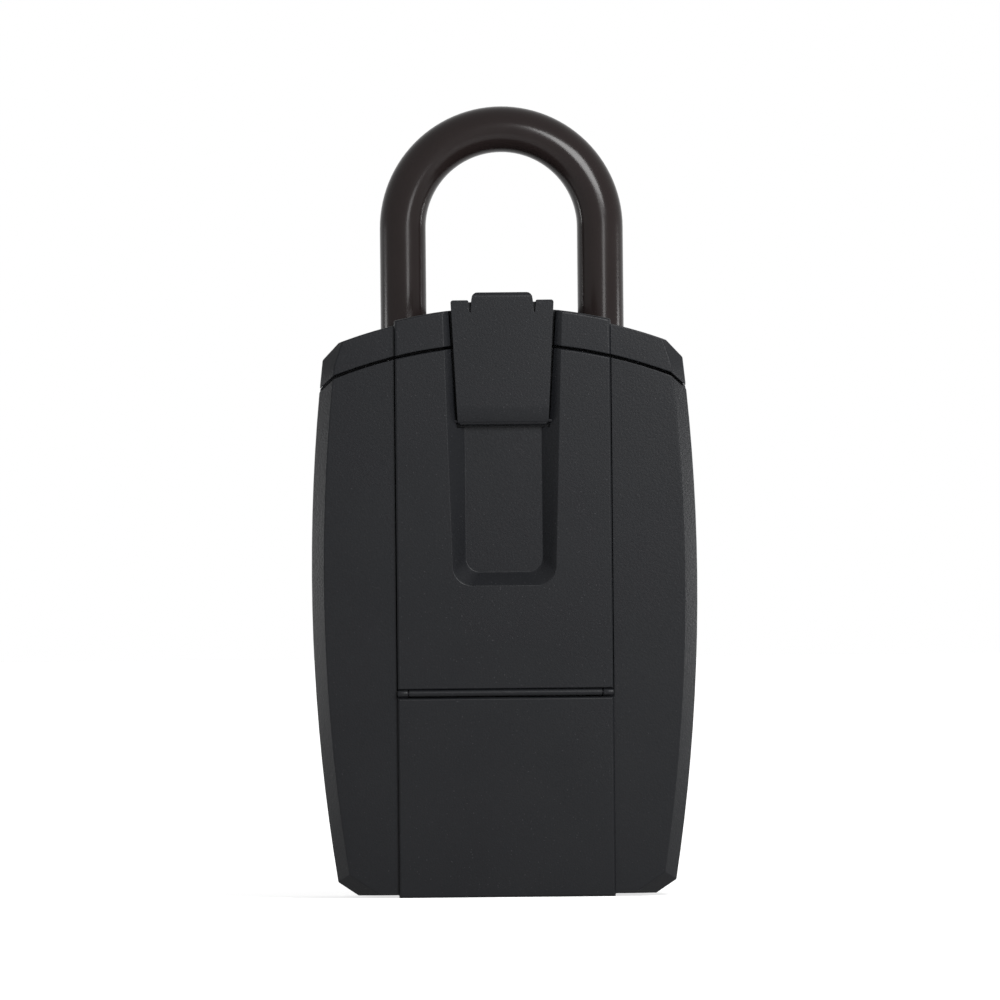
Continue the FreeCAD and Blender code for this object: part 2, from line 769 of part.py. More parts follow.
def cover_clip():
    """One plate: two ears and a longer finger between them, and a rolled lower end on its pin."""
    depth = (band_y - over, hook_rear_y + over)
    at_low = lambda b: b.YLength > near and b.ZMax < clip_low_z + near
    at_top = lambda b: b.YLength > near and b.ZMin > finger_top - near
    blade = softened(prism_y(clip_face(), depth), clip_corner, at_low)
    finger = block((-finger_half, finger_half), depth, (slot_base_z, finger_top))
    finger = softened(finger, finger_corner, at_top)
    slots = block((finger_half, finger_half + slot_width), (-far, far), (slot_base_z, far))
    ears_only = block((finger_half, far), (clip_back_y, far), (clip_low_z + toe_height, far))
    plan = blade.fuse(finger)
    plan = plan.cut(both_sides(slots)).cut(both_sides(ears_only))
    clip = plan.common(clip_side())
    clip = clip.cut(x_rod((-far, far), clip_axis_y, clip_axis_z, clip_pin_radius + running_fit))
    return clip.removeSplitter()


def clip_pin():
    return x_rod((-clip_pin_half, clip_pin_half), clip_axis_y, clip_axis_z, clip_pin_radius)


def clip_spring():
    """A bent leaf between the floor of the well and the back of the clip."""
    low, bend, high = clip_axis_z + leaf_low, clip_axis_z + leaf_bend, clip_axis_z + leaf_high
    rear, front = well_floor_y, clip_back_y + leaf_gap
    leaf = [(rear, low), (rear, bend), (front + leaf_thick, high), (front, high),
            (rear - leaf_thick, bend), (rear - leaf_thick, low)]
    return prism_x(leaf, (-leaf_half, leaf_half))


# ---- lock plate and what it carries ----
def lock_plate():
    plate = block((-plate_half, plate_half), (plate_y, plate_back_y), (plate_low_z, far))
    plate = plate.common(below_seam(door_wall + slide_gap))
    plate = plate.common(prism_y(outline(door_wall + slide_gap), (plate_y, plate_back_y)))
    solids = [plate]
    for side in (-1, 1):
        for z in pillar_z:
            solids.append(y_rod(side * pillar_x, (plate_y, back_plate_y), z, pillar_radius))
    cheek = block((cheek_x, cheek_x + cheek_thick), (plate_y, dial_y + cheek_half),
                  (dial_z - cheek_half, dial_z + cheek_half))
    guide = block((guide_x, guide_x + guide_width), (plate_y, bolt_back_y + guide_lip), guide_z)
    peg = block((guide_x, ear_x), (plate_y, bolt_back_y + peg_proud), (peg_z, peg_z + peg_height))
    solids += [cheek, mirrored_x(cheek), guide, mirrored_x(guide), peg]
    plate = fuse_all(solids)
    window_half = math.sqrt(dial_radius ** 2 - (dial_y - plate_back_y) ** 2) + window_gap
    window_z = (dial_z - window_half, dial_z + window_half)
    half = dial_width / 2 + rest_gap
    for x in dial_x:
        plate = plate.cut(block((x - half, x + half), (-far, plate_back_y), window_z))
    neck_room = neck_half + rest_gap
    low = knob_z + (knob_height - neck_height) / 2 - rest_gap
    high = low + neck_height + release_travel + 2 * rest_gap
    plate = plate.cut(block((-neck_room, neck_room), (-far, far), (low, high)))
    plate = plate.cut(x_rod((-far, far), dial_y, dial_z, dial_shaft_radius + snug_fit))
    for side in (-1, 1):
        for z in pillar_z:
            plate = plate.cut(y_rod(side * pillar_x, (plate_back_y, far), z, screw_radius + snug_fit))
        for z in plate_screw_z:
            plate = plate.cut(y_rod(side * plate_screw_x, (-far, far), z, screw_radius + screw_gap))
    return plate


def dial_shaft():
    half = cheek_x + cheek_thick
    return x_rod((-half, half), dial_y, dial_z, dial_shaft_radius)


def dial_wheel(x):
    wheel = x_rod((x - dial_width / 2, x + dial_width / 2), dial_y, dial_z, dial_radius)
    rim = lambda b: b.YLength > dial_radius
    wheel = wheel.makeChamfer(dial_edge, edges_where(wheel, rim))
    wheel = wheel.cut(x_rod((x - dial_width, x + dial_width), dial_y, dial_z, dial_core_radius + snug_fit))
    recess = (x + dial_width / 2 - dial_recess_depth, x + dial_width)
    wheel = wheel.cut(x_rod(recess, dial_y, dial_z, dial_recess_radius))
    reach = dial_radius + notch_radius - notch_sink
    for i in range(notch_count):
        turn = 2 * math.pi * (i + 0.5) / notch_count
        y, z = dial_y + reach * math.cos(turn), dial_z + reach * math.sin(turn)
        wheel = wheel.cut(x_rod((x - dial_width, x + dial_width), y, z, notch_radius))
    return wheel


def dial_core(x):
    """The coded collar inside a wheel, with its gate, on a slimmer hub."""
    half, hub_half = dial_width / 2, dial_hub_width / 2
    collar = x_rod((x - half, x + half), dial_y, dial_z, dial_core_radius)
    gate = block((x + half - dial_recess_depth, x + half), (dial_y + dial_core_radius - gate_depth, far),
                 (dial_z - gate_width / 2, dial_z + gate_width / 2))
    hub = x_rod((x - hub_half, x + hub_half), dial_y, dial_z, dial_hub_radius)
    core = collar.cut(gate).fuse(hub)
    return core.cut(x_rod((x - dial_pitch, x + dial_pitch), dial_y, dial_z, dial_shaft_radius + running_fit))


def detent_spring():
    """A leaf comb: one finger under each wheel."""
    top = wheel_low_z - comb_gap
    half = dial_x[-1] + dial_width / 2
    spine = block((-half, half), (plate_back_y, plate_back_y + comb_thick), (top - comb_height, top))
    fingers = [
        block((x - comb_half, x + comb_half), (plate_back_y, dial_y + comb_reach), (top - comb_thick, top))
        for x in dial_x
    ]
    return fuse_all([spine] + fingers)


def plate_screws():
    """Four screws that hold the lock plate to the door's bosses."""
    return Part.makeCompound([
        screw(side * plate_screw_x, plate_back_y, z, plate_screw_length)
        for side in (-1, 1) for z in plate_screw_z
    ])


def back_plate():
    inset = door_wall + back_plate_gap
    plate = prism_y(outline(inset), (back_plate_y, back_plate_rear_y)).common(below_seam(inset))
    plate = plate.common(block((-far, far), (-far, far), (sill_z + sill_height + rest_gap, far)))
    for side in (-1, 1):
        for z in pillar_z:
            plate = plate.cut(y_rod(side * pillar_x, (-far, far), z, screw_radius + screw_gap))
    slot_z = (lever_z - lever_neck_height / 2 - rest_gap, lever_z + lever_neck_height / 2 + rest_gap)
    slot_x = (-lever_neck_half - rest_gap, lever_neck_half + lever_travel + rest_gap)
    return plate.cut(block(slot_x, (-far, far), slot_z))


def back_plate_screws():
    return Part.makeCompound([
        screw(side * pillar_x, back_plate_rear_y, z, pillar_screw_length)
        for side in (-1, 1) for z in pillar_z
    ])


def code_lever():
    """The lever that frees the wheels for a new code: a shoe, a neck through the back plate and a knob."""
    height = (lever_z - lever_height / 2, lever_z + lever_height / 2)
    neck_z = (lever_z - lever_neck_height / 2, lever_z + lever_neck_height / 2)
    face = back_plate_rear_y + slide_gap
    rear = face + lever_knob_thick
    shoe = block((-lever_half, lever_half), (gate_y, back_plate_y - slide_gap), height)
    neck = block((-lever_neck_half, lever_neck_half), (gate_y, face + lever_knob_root), neck_z)
    knob = block((-lever_knob_half, lever_knob_half), (face, rear), height)
    knob = softened(knob, lever_knob_corner, lambda b: b.YMin > rear - near)
    return fuse_all([shoe, neck, knob])


# ---- release slide ----
def release_knob():
    front = knob_y - knob_thick
    knob = block((-knob_half, knob_half), (front, knob_y), (knob_z, knob_z + knob_height))
    knob = softened(knob, knob_corner, lambda b: b.YMax < front + near)
    low = knob_z + (knob_height - neck_height) / 2
    neck = block((-neck_half, neck_half), (knob_y - neck_root, bolt_y), (low, low + neck_height))
    return fuse_all([knob, neck])


def bolt_bar():
    bar = block((-bolt_half, bolt_half), (bolt_y, bolt_back_y), (bolt_low_z, bolt_top_z))
    at_tip = lambda b: b.XLength > bolt_half and b.ZMin > bolt_top_z - near
    bar = bar.makeChamfer(bolt_bevel, edges_where(bar, at_tip))
    ear = block((0, ear_x), (bolt_y, bolt_back_y), (ear_z - ear_height, ear_z))
    return fuse_all([bar, ear])


def gate_plate():
    """The plate behind the wheels, with its foot on the bolt."""
    leg_half = bolt_half - gate_leg_in
    high = bolt_low_z + gate_leg_height
    plate = block((-gate_half, gate_half), (gate_y, gate_back_y), (wheel_low_z, high))
    leg = block((-leg_half, leg_half), (bolt_back_y, gate_back_y), (bolt_low_z, high))
    return fuse_all([plate, leg])


def bolt_spring():
    """The coil that draws the bolt up, between its ear and a peg on the lock plate."""
    spring = coil(bolt_spring_radius, spring_wire, peg_up - 2 * rest_gap, bolt_spring_turns)
    return spring.translated(V(ear_x - bolt_spring_in, bolt_back_y + bolt_spring_gap, ear_z + rest_gap))


# ---- rear case ----
def rear_case():
    behind = block((-far, far), (case_front_y, far), (-far, far))
    case = CASING.common(behind).common(below_seam(-seam_gap + rest_gap))
    deep_y = case_front_y + sill_depth
    cavity = prism_y(outline(case_wall), (deep_y, inner_back_y))
    above_sill = block((-far, far), (-far, far), (sill_z + sill_height, far))
    mouth = prism_y(outline(case_wall), (-far, deep_y)).common(above_sill)
    top = block((-block_half, block_half), (case_front_y - over, inner_back_y), (block_low_z, far))
    case = case.cut(cavity).cut(mouth).cut(top)
    case = case.cut(x_rod((-far, far), parting_y, door_hinge_z, hinge_relief))
    for place in knuckle_places()[1::2]:
        knuckle = x_rod(place, parting_y, door_hinge_z, knuckle_radius)
        web_y = (parting_y, parting_y + hinge_relief + root)
        web = block(place, web_y, (door_hinge_z, door_hinge_z + knuckle_radius))
        case = case.fuse(knuckle).fuse(web)
    case = case.cut(x_rod((-far, far), parting_y, door_hinge_z, door_pin_radius + snug_fit))
    case = case.cut(back_pad(pad_sink + over, snug_fit)).cut(case_gasket(0.0))
    hole = (inner_back_y - over, inner_back_y + block_screw_bite + block_screw_hole_end)
    for side in (-1, 1):
        case = case.cut(y_rod(side * block_screw_x, hole, block_screw_z, block_screw_radius + snug_fit))
    return case.removeSplitter()


def case_gasket(proud=gasket_proud):
    """The rubber strip in the case's front rim: both sides and the sill."""
    margin = (case_wall - gasket_width) / 2
    depth = (case_front_y - proud, case_front_y + gasket_sink)
    run_z = sill_z + sill_height - gasket_width - gasket_drop
    tool = block((-far, far), (-far, far), (run_z, far))
    outer = prism_y(outline(margin), depth).common(tool)
    above_run = block((-far, far), (-far, far), (run_z + gasket_width, far))
    inner = prism_y(outline(margin + gasket_width), (-far, far)).common(above_run)
    return outer.cut(inner).common(below_seam(2 * case_wall))


def back_pad(reach=pad_sink, gap=0.0):
    """The soft pad that keeps the box off what it hangs on."""
    pad = block((-pad_half - gap, pad_half + gap), (back_y - pad_sink, back_y - pad_sink + reach + pad_proud),
                (pad_z[0] - gap, pad_z[1] + gap))
    along_y = lambda b: b.YLength > b.XLength and b.YLength > b.ZLength
    return softened(pad, pad_corner, along_y)


# ---- lock block ----
def cap_screw_seat_z():
    """The height at which the cap's screws bear on the lock block."""
    return crown_z(cap_screw_x, seam_top_z + seam_gap) + screw_head_thick + rest_gap


def lock_block():
    slab = prism_y(outline(block_inset), (well_back_y + rest_gap, back_y - block_inset))
    slab = slab.cut(below_seam(-seam_gap))
    body_half = block_half - rest_gap
    body = block((-body_half, body_half), (block_front_y, block_rear_y), (block_low_z, far))
    body = body.common(prism_y(outline(case_wall + block_side_gap), (-far, far)))
    toe_boss = z_rod(leg_x, leg_y, (toe_boss_z, block_low_z + boss_root), leg_boss_radius)
    heel_boss = z_rod(-leg_x, leg_y, (heel_boss_z, block_low_z + boss_root), leg_boss_radius)
    solid = fuse_all([slab, body, toe_boss, heel_boss])
    bore = rod_radius + running_fit
    solid = solid.cut(z_rod(leg_x, leg_y, (toe_end_z - toe_gap, far), bore))
    solid = solid.cut(z_rod(-leg_x, leg_y, (-far, far), bore))
    ring_room = (-far, ring_z + ring_thick + lift + rest_gap)
    solid = solid.cut(z_rod(-leg_x, leg_y, ring_room, ring_radius + slide_gap))
    seat_z = cap_screw_seat_z()
    for side in (-1, 1):
        solid = solid.cut(z_rod(side * leg_x, leg_y, (seal_ring_z, far), seal_seat_radius))
        through = (-far, far)
        solid = solid.cut(y_rod(side * block_screw_x, through, block_screw_z, block_screw_radius + screw_gap))
        solid = solid.cut(z_rod(side * cap_screw_x, cap_screw_y, through, screw_radius + screw_gap))
        head_room = (-far, seat_z)
        solid = solid.cut(z_rod(side * cap_screw_x, cap_screw_y, head_room, screw_head_radius + screw_gap))
    slot_z = (0, bolt_top_z + release_travel + rest_gap)
    solid = solid.cut(block((-guide_x, guide_x), (bolt_y - rest_gap, bolt_back_y + rest_gap), slot_z))
    room = catch_half + slide_gap
    channel_z = (block_low_z - over, catch_z + catch_height + slide_gap)
    solid = solid.cut(block((catch_channel_x, leg_x), (leg_y - room, leg_y + room), channel_z))
    hole_z = (block_low_z - over, block_low_z + catch_screw_bite + slide_gap)
    for x in catch_screw_x:
        solid = solid.cut(z_rod(x, catch_screw_y, hole_z, screw_radius + snug_fit))
    return solid.removeSplitter()


def block_screws():
    """Two screws through the lock block into the back of the case."""
    x, z = block_screw_x, block_screw_z
    front = block_front_y - block_screw_head_thick
    shank = y_rod(x, (block_front_y, inner_back_y + block_screw_bite), z, block_screw_radius)
    head = y_rod(x, (front, block_front_y), z, block_screw_head)
    slot = block((x - block_screw_slot_half, x + block_screw_slot_half),
                 (front, front + block_screw_head_thick / 2), (z - block_screw_head, z + block_screw_head))
    return both_sides(shank.fuse(head).cut(slot))


def cap_screws():
    """Two screws up through the lock block into the cap."""
    x, y = cap_screw_x, cap_screw_y
    seat_z = cap_screw_seat_z()
    low_z = seat_z - screw_head_thick
    shank = z_rod(x, y, (seat_z, seat_z + cap_screw_length), screw_radius)
    head = z_rod(x, y, (low_z, seat_z), screw_head_radius)
    slot = block((x - screw_head_radius, x + screw_head_radius), (y - screw_slot_half, y + screw_slot_half),
                 (low_z, low_z + screw_head_thick / 2))
    return both_sides(shank.fuse(head).cut(slot))


def shackle_seals():
    """A rubber ring round each leg."""
    ring = z_rod(leg_x, leg_y, (seal_ring_z, seal_ring_z + seal_ring_thick), seal_seat_radius - seal_fit)
    return both_sides(ring.cut(z_rod(leg_x, leg_y, (0, far), rod_radius + seal_fit)))


# ---- cap ----
def top_cap():
    cap = CASING.cut(below_seam(-seam_gap))
    hollow = prism_y(outline(cap_wall), (well_back_y, back_y - cap_wall))
    cap = cap.cut(hollow).cut(WELL)
    for side in (-1, 1):
        cap = cap.cut(z_rod(side * leg_x, leg_y, (0, far), cap_hole_radius))
        hole_z = (0, wing_top - cap_screw_cover)
        cap = cap.cut(z_rod(side * cap_screw_x, cap_screw_y, hole_z, screw_radius + snug_fit))
    front, rear = band_y - over, hook_rear_y + hook_relief
    rear_z, front_z = hook_under_z(rear) - cover_gap, hook_under_z(front) - cover_gap
    slope = [(rear, rear_z), (front, front_z), (front, far), (rear, far)]
    half = finger_half + slot_width
    return cap.cut(prism_x(slope, (-half, half))).removeSplitter()


# ---- shackle ----
def shackle_path(radius, toe_z, heel_z):
    """A round bar bent over the top, with one leg down to each height."""
    bow = Part.makeTorus(leg_x, radius, V(0, leg_y, bow_z), V(0, 1, 0), 0, 360, 360)
    bow = bow.common(block((-far, far), (-far, far), (bow_z, far)))
    toe = z_rod(leg_x, leg_y, (toe_z, bow_z), radius)
    heel = z_rod(-leg_x, leg_y, (heel_z, bow_z), radius)
    return fuse_all([bow, toe, heel])


def shackle_rod():
    rod = shackle_path(rod_radius, toe_end_z, heel_end_z)
    low, high = catch_z - notch_clear, catch_z + catch_height + notch_clear
    notch_x = catch_tip_x + catch_travel + notch_clear
    rod = rod.cut(block((toe_face_x - over, notch_x), (-far, far), (low, high)))
    groove_z = (ring_z, ring_z + ring_thick)
    groove = z_rod(-leg_x, leg_y, groove_z, ring_radius).cut(z_rod(-leg_x, leg_y, groove_z, groove_radius))
    ends = lambda b: b.ZMax < heel_end_z + near or abs(b.ZMin - toe_end_z) + b.ZLength < near
    rod = rod.cut(groove)
    return rod.makeChamfer(leg_bevel, edges_where(rod, ends))


def shackle_sleeve():
    outer = shackle_path(sleeve_radius, sleeve_low_z, sleeve_low_z)
    return outer.cut(shackle_path(rod_radius + snug_fit, 0, 0))


def heel_ring():
    ring = z_rod(-leg_x, leg_y, (ring_z, ring_z + ring_thick), ring_radius)
    return ring.cut(z_rod(-leg_x, leg_y, (0, far), groove_radius + snug_fit))


# ---- shackle catch ----
def shackle_catch():
    bar = block((catch_tail_x, catch_tip_x), (leg_y - catch_half, leg_y + catch_half),
                (catch_z, catch_z + catch_height))
    at_tip = lambda b: b.XMin > catch_tip_x - near and b.ZLength < near
    bar = bar.makeChamfer(catch_bevel, edges_where(bar, at_tip))
    tab = block(catch_tab_x, (leg_y - catch_tab_half, leg_y + catch_tab_half), (catch_tab_z, catch_z + root))
    tab = softened(tab, catch_tab_corner, lambda b: b.ZMax < catch_tab_z + near)
    return fuse_all([bar, tab])


def catch_plate():
    plate = block(catch_plate_x, (leg_y - catch_plate_half, leg_y + catch_plate_half),
                  (block_low_z - catch_plate_thick, block_low_z))
    slot = block((catch_tab_x[0] - rest_gap, catch_tab_x[1] + catch_travel + rest_gap),
                 (leg_y - catch_tab_half - rest_gap, leg_y + catch_tab_half + rest_gap), (0, far))
    plate = plate.cut(slot)
    for x in catch_screw_x:
        plate = plate.cut(z_rod(x, catch_screw_y, (0, far), screw_radius + screw_gap))
    return plate


def catch_plate_screws():
    screws = []
    low = block_low_z - catch_plate_thick
    for x in catch_screw_x:
        shank = z_rod(x, catch_screw_y, (low, block_low_z + catch_screw_bite), screw_radius)
        head = z_rod(x, catch_screw_y, (low - catch_screw_head_thick, low), catch_screw_head)
        screws.append(shank.fuse(head))
    return Part.makeCompound(screws)


def catch_spring():
    """The coil that presses the catch towards the toe."""
    clear = slide_gap + spring_wire
    spring = coil(catch_spring_radius, spring_wire, catch_room - 2 * clear, catch_spring_turns)
    spring.rotate(V(0, 0, 0), V(0, 1, 0), 90)
    return spring.translated(V(catch_channel_x + clear, leg_y, catch_z + catch_height / 2))


# ---- write one file for each piece ----
PIECES = {
    "rear_case": rear_case,
    "case_gasket": case_gasket,
    "back_pad": back_pad,
    "door_hinge_pin": door_hinge_pin,
    "lock_block": lock_block,
    "block_screws": block_screws,
    "cap_screws": cap_screws,
    "top_cap": top_cap,
    "shackle_seals": shackle_seals,
    "shackle_rod": shackle_rod,
    "shackle_sleeve": shackle_sleeve,
    "heel_ring": heel_ring,
    "shackle_catch": shackle_catch,
    "catch_spring": catch_spring,
    "catch_plate": catch_plate,
    "catch_plate_screws": catch_plate_screws,
    "front_shell": door,
    "lock_plate": lock_plate,
    "plate_screws": plate_screws,
    "back_plate": back_plate,
    "back_plate_screws": back_plate_screws,
    "dial_shaft": dial_shaft,
    "detent_spring": detent_spring,
    "release_knob": release_knob,
    "bolt_bar": bolt_bar,
    "gate_plate": gate_plate,
    "bolt_spring": bolt_spring,
    "code_lever": code_lever,
    "cover_hinge_pin": cover_hinge_pin,
    "dial_cover": dial_cover,
    "cover_seal": cover_seal,
    "clip_pin": clip_pin,
    "clip_spring": clip_spring,
    "cover_clip": cover_clip,
}
for number, place in enumerate(dial_x, 1):
    PIECES[f"dial_wheel_{number}"] = lambda place=place: dial_wheel(place)
    PIECES[f"dial_core_{number}"] = lambda place=place: dial_core(place)

os.makedirs("parts", exist_ok=True)
for name, make in PIECES.items():
    make().exportStep(f"parts/{name}.step")
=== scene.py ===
import bmesh
import bpy
import math
from mathutils import Matrix, Vector


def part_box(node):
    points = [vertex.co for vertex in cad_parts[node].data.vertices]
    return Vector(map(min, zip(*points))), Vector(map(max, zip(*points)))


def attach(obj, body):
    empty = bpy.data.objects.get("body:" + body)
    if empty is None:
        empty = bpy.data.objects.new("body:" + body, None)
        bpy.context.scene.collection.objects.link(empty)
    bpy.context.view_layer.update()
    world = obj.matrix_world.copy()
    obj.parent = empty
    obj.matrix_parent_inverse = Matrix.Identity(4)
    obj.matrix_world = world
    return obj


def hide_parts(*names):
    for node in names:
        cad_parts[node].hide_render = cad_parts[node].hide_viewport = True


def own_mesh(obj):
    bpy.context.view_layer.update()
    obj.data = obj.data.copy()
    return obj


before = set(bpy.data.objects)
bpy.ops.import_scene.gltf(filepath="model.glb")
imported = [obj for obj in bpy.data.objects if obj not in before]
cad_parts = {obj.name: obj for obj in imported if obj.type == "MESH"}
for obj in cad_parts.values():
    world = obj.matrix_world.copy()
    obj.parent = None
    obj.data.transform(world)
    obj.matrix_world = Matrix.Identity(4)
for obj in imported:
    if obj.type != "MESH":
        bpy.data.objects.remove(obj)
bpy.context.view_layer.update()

# ---- Rear case ----
# A zinc casting with a textured black powder coat. It is the deep half of the key
# compartment, and everything else is screwed or hinged to it.
scene = bpy.context.scene
MM = 0.001


class Signal:
    """The output of a node. Arithmetic on it adds Math nodes."""

    def __init__(self, nodes, output):
        self.nodes = nodes
        self.output = output

    def _math(self, operation, first, second):
        return self.nodes.node("ShaderNodeMath", {"operation": operation}, {0: first, 1: second})

    def __add__(self, other):
        return self._math("ADD", self, other)

    def __radd__(self, other):
        return self._math("ADD", other, self)

    def __mul__(self, other):
        return self._math("MULTIPLY", self, other)

    def __rmul__(self, other):
        return self._math("MULTIPLY", other, self)

    def __gt__(self, other):
        return self._math("GREATER_THAN", self, other)


class Nodes:
    """The nodes of a material or of the world, and the shader that they feed."""

    def __init__(self, owner, shader):
        owner.use_nodes = True
        self.tree = owner.node_tree
        self.shader = self.tree.nodes[shader]

    def node(self, kind, settings, values, output=0):
        """Adds one node. Settings come first, then the values or links of its sockets."""
        added = self.tree.nodes.new(kind)
        for name, value in settings.items():
            setattr(added, name, value)
        for socket, value in values.items():
            self._feed(added.inputs[socket], value)
        return Signal(self, added.outputs[output])

    def _feed(self, socket, value):
        if isinstance(value, Signal):
            self.tree.links.new(value.output, socket)
        else:
            socket.default_value = value

    def paint(self, values):
        """Sets the shader's own sockets."""
        for socket, value in values.items():
            self._feed(self.shader.inputs[socket], value)
        return self


class Finish(Nodes):
    """A material for one kind of surface."""

    def __init__(self, name):
        self.material = bpy.data.materials.new(name)
        super().__init__(self.material, "Principled BSDF")
        self.place = self.node("ShaderNodeTexCoord", {}, {}, "Object")

    def noise(self, size, detail=3.0, roughness=0.5, at=None):
        """Noise from 0 to 1, with features about this many metres across."""
        values = {"Vector": at or self.place, "Scale": 1 / size, "Detail": detail, "Roughness": roughness}
        return self.node("ShaderNodeTexNoise", {}, values)

    def mix(self, share, first, second):
        """A colour between two colours."""
        first_colour, second_colour, result = 6, 7, 2
        values = {"Factor": share, first_colour: first, second_colour: second}
        return self.node("ShaderNodeMix", {"data_type": "RGBA"}, values, result)

    def between(self, value, low, high, start=0.0, end=1.0):
        """A value spread from one range over another, and held at its ends."""
        return self.node("ShaderNodeMapRange", {}, {0: value, 1: low, 2: high, 3: start, 4: end})

    def varied(self, noise, start, end):
        """A value between two ends that follows noise, little of which lies below 0.3 or above 0.7."""
        return self.between(noise, 0.3, 0.7, start, end)

    def bump(self, height, depth):
        """The normal of a surface whose height runs over this many metres."""
        return self.node("ShaderNodeBump", {}, {"Height": height, "Strength": 1.0, "Distance": depth})


def made(name, shape, finish, body, slot, *nodes, crease=35):
    """A finished piece, made of a shape, that rides on a body and stands for nodes."""
    mesh = bpy.data.meshes.new(name)
    shape.to_mesh(mesh)
    shape.free()
    mesh.shade_smooth()
    mesh.set_sharp_from_angle(angle=math.radians(crease))
    mesh.materials.append(finish.material)
    piece = bpy.data.objects.new(name, mesh)
    scene.collection.objects.link(piece)
    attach(piece, body)
    if nodes:
        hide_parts(*nodes)
    return piece


def whole(shape):
    """Every corner, edge and face of a shape."""
    return shape.verts[:] + shape.edges[:] + shape.faces[:]


def only(kind, items):
    """The corners, edges or faces among what an operator gives back."""
    return [item for item in items if isinstance(item, kind)]


# Faces this near to flat are one face, corners this near are one corner, and a hair is no distance.
flat_angle, weld_distance, hair = math.radians(0.5), 0.03 * MM, 0.001 * MM


def solid_of(node, halves=False):
    """The solid of a CAD node as one closed mesh of whole faces. A face round an opening needs halves."""
    shape = bmesh.new()
    shape.from_mesh(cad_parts[node].data)
    bmesh.ops.remove_doubles(shape, verts=shape.verts, dist=weld_distance)
    if halves:
        middle = {"plane_co": (0, 0, 0), "plane_no": (1, 0, 0)}
        cut = bmesh.ops.bisect_plane(shape, geom=whole(shape), dist=hair, **middle)["geom_cut"]
        for edge in only(bmesh.types.BMEdge, cut):
            edge.seam = True
    bmesh.ops.dissolve_limit(shape, angle_limit=flat_angle, verts=shape.verts, edges=shape.edges,
                             delimit={"SEAM"})
    return shape


def eased(piece, radius, segments=2, over=30):
    """Takes the sharpness off a piece's edges, and keeps its broad faces flat to the eye."""
    bevel = piece.modifiers.new("eased_edges", "BEVEL")
    bevel.width = radius
    bevel.segments = segments
    bevel.limit_method = "ANGLE"
    bevel.angle_limit = math.radians(over)
    bevel.use_clamp_overlap = False
    flat = piece.modifiers.new("flat_faces", "WEIGHTED_NORMAL")
    flat.weight = 100
    flat.keep_sharp = False
    return piece


case_black = Finish("case_black")
orange_peel = case_black.noise(0.45 * MM, 2.0)
coat_dark, coat_light = (0.006, 0.0066, 0.0078, 1), (0.009, 0.0096, 0.011, 1)
case_black.paint({
    "Base Color": case_black.mix(case_black.noise(9 * MM), coat_dark, coat_light),
    "Roughness": case_black.varied(case_black.noise(3 * MM), 0.4, 0.5),
    "Specular IOR Level": 0.2,
    "Normal": case_black.bump(orange_peel, 0.02 * MM),
})
case = solid_of("rear_case", halves=True)
case_edge = 0.18 * MM
eased(made("cast_case", case, case_black, "housing", "case_black", "rear_case"), case_edge)

# ---- Seals and pad ----
# Extruded and moulded rubber: a strip round the mouth of the case, rings at the shackle,
# a strip behind the dial cover, and a pad with a raised border that keeps the box off the door.


def grey(level, blue=1.0):
    """A grey, or with blue above 1 a colder one."""
    return (level, level, level * blue, 1.0)


def dress(finish, *nodes):
    """Gives CAD nodes their finish."""
    for name in nodes:
        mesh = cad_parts[name].data
        mesh.materials.clear()
        mesh.materials.append(finish.material)


seal_rubber = Finish("seal_rubber")
seal_rubber.paint({
    "Base Color": seal_rubber.mix(seal_rubber.noise(2 * MM), grey(0.009, 1.1), grey(0.015, 1.1)),
    "Roughness": seal_rubber.varied(seal_rubber.noise(0.6 * MM), 0.68, 0.82),
    "Specular IOR Level": 0.2,
    "Normal": seal_rubber.bump(seal_rubber.noise(0.25 * MM), 0.02 * MM),
})
dress(seal_rubber, "shackle_seals", "cover_seal")
# The strip's front is pressed against the rim of the door.
gasket = solid_of("case_gasket", halves=True)
gasket_front, door_rim_y, near_to, gasket_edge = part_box("case_gasket")[0][1], -3.24 * MM, 0.01 * MM, 0.2 * MM
for vert in gasket.verts:
    if vert.co.y < gasket_front + near_to:
        vert.co.y = door_rim_y
eased(made("case_seal", gasket, seal_rubber, "housing", "seal_rubber", "case_gasket"), gasket_edge)
pad_low, pad_high = (Vector(corner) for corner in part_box("back_pad"))
pad_corner, pad_edge = 8 * MM, 0.4 * MM
border_width, field_slope, field_sink = 3.0 * MM, 0.35 * MM, 0.3 * MM
pad = bmesh.new()
bmesh.ops.create_cube(pad, size=1.0)
bmesh.ops.scale(pad, vec=pad_high - pad_low, verts=pad.verts)
bmesh.ops.translate(pad, vec=(pad_high + pad_low) / 2, verts=pad.verts)
corners = [edge for edge in pad.edges if abs((edge.verts[0].co - edge.verts[1].co).y) > near_to]
bmesh.ops.bevel(pad, geom=corners, offset=pad_corner, segments=10, profile=0.5, affect="EDGES", material=-1)
rim = [edge for edge in pad.edges if all(vert.co.y > pad_high.y - near_to for vert in edge.verts)]
bmesh.ops.bevel(pad, geom=rim, offset=pad_edge, segments=3, profile=0.5, affect="EDGES", material=-1)
field = [max(pad.faces, key=lambda face: face.calc_center_median().y + face.calc_area())]
for width, sink in ((border_width, 0.0), (field_slope, field_sink)):
    bmesh.ops.inset_region(pad, faces=field, thickness=width, depth=-sink)
made("rubber_pad", pad, seal_rubber, "housing", "seal_rubber", "back_pad")

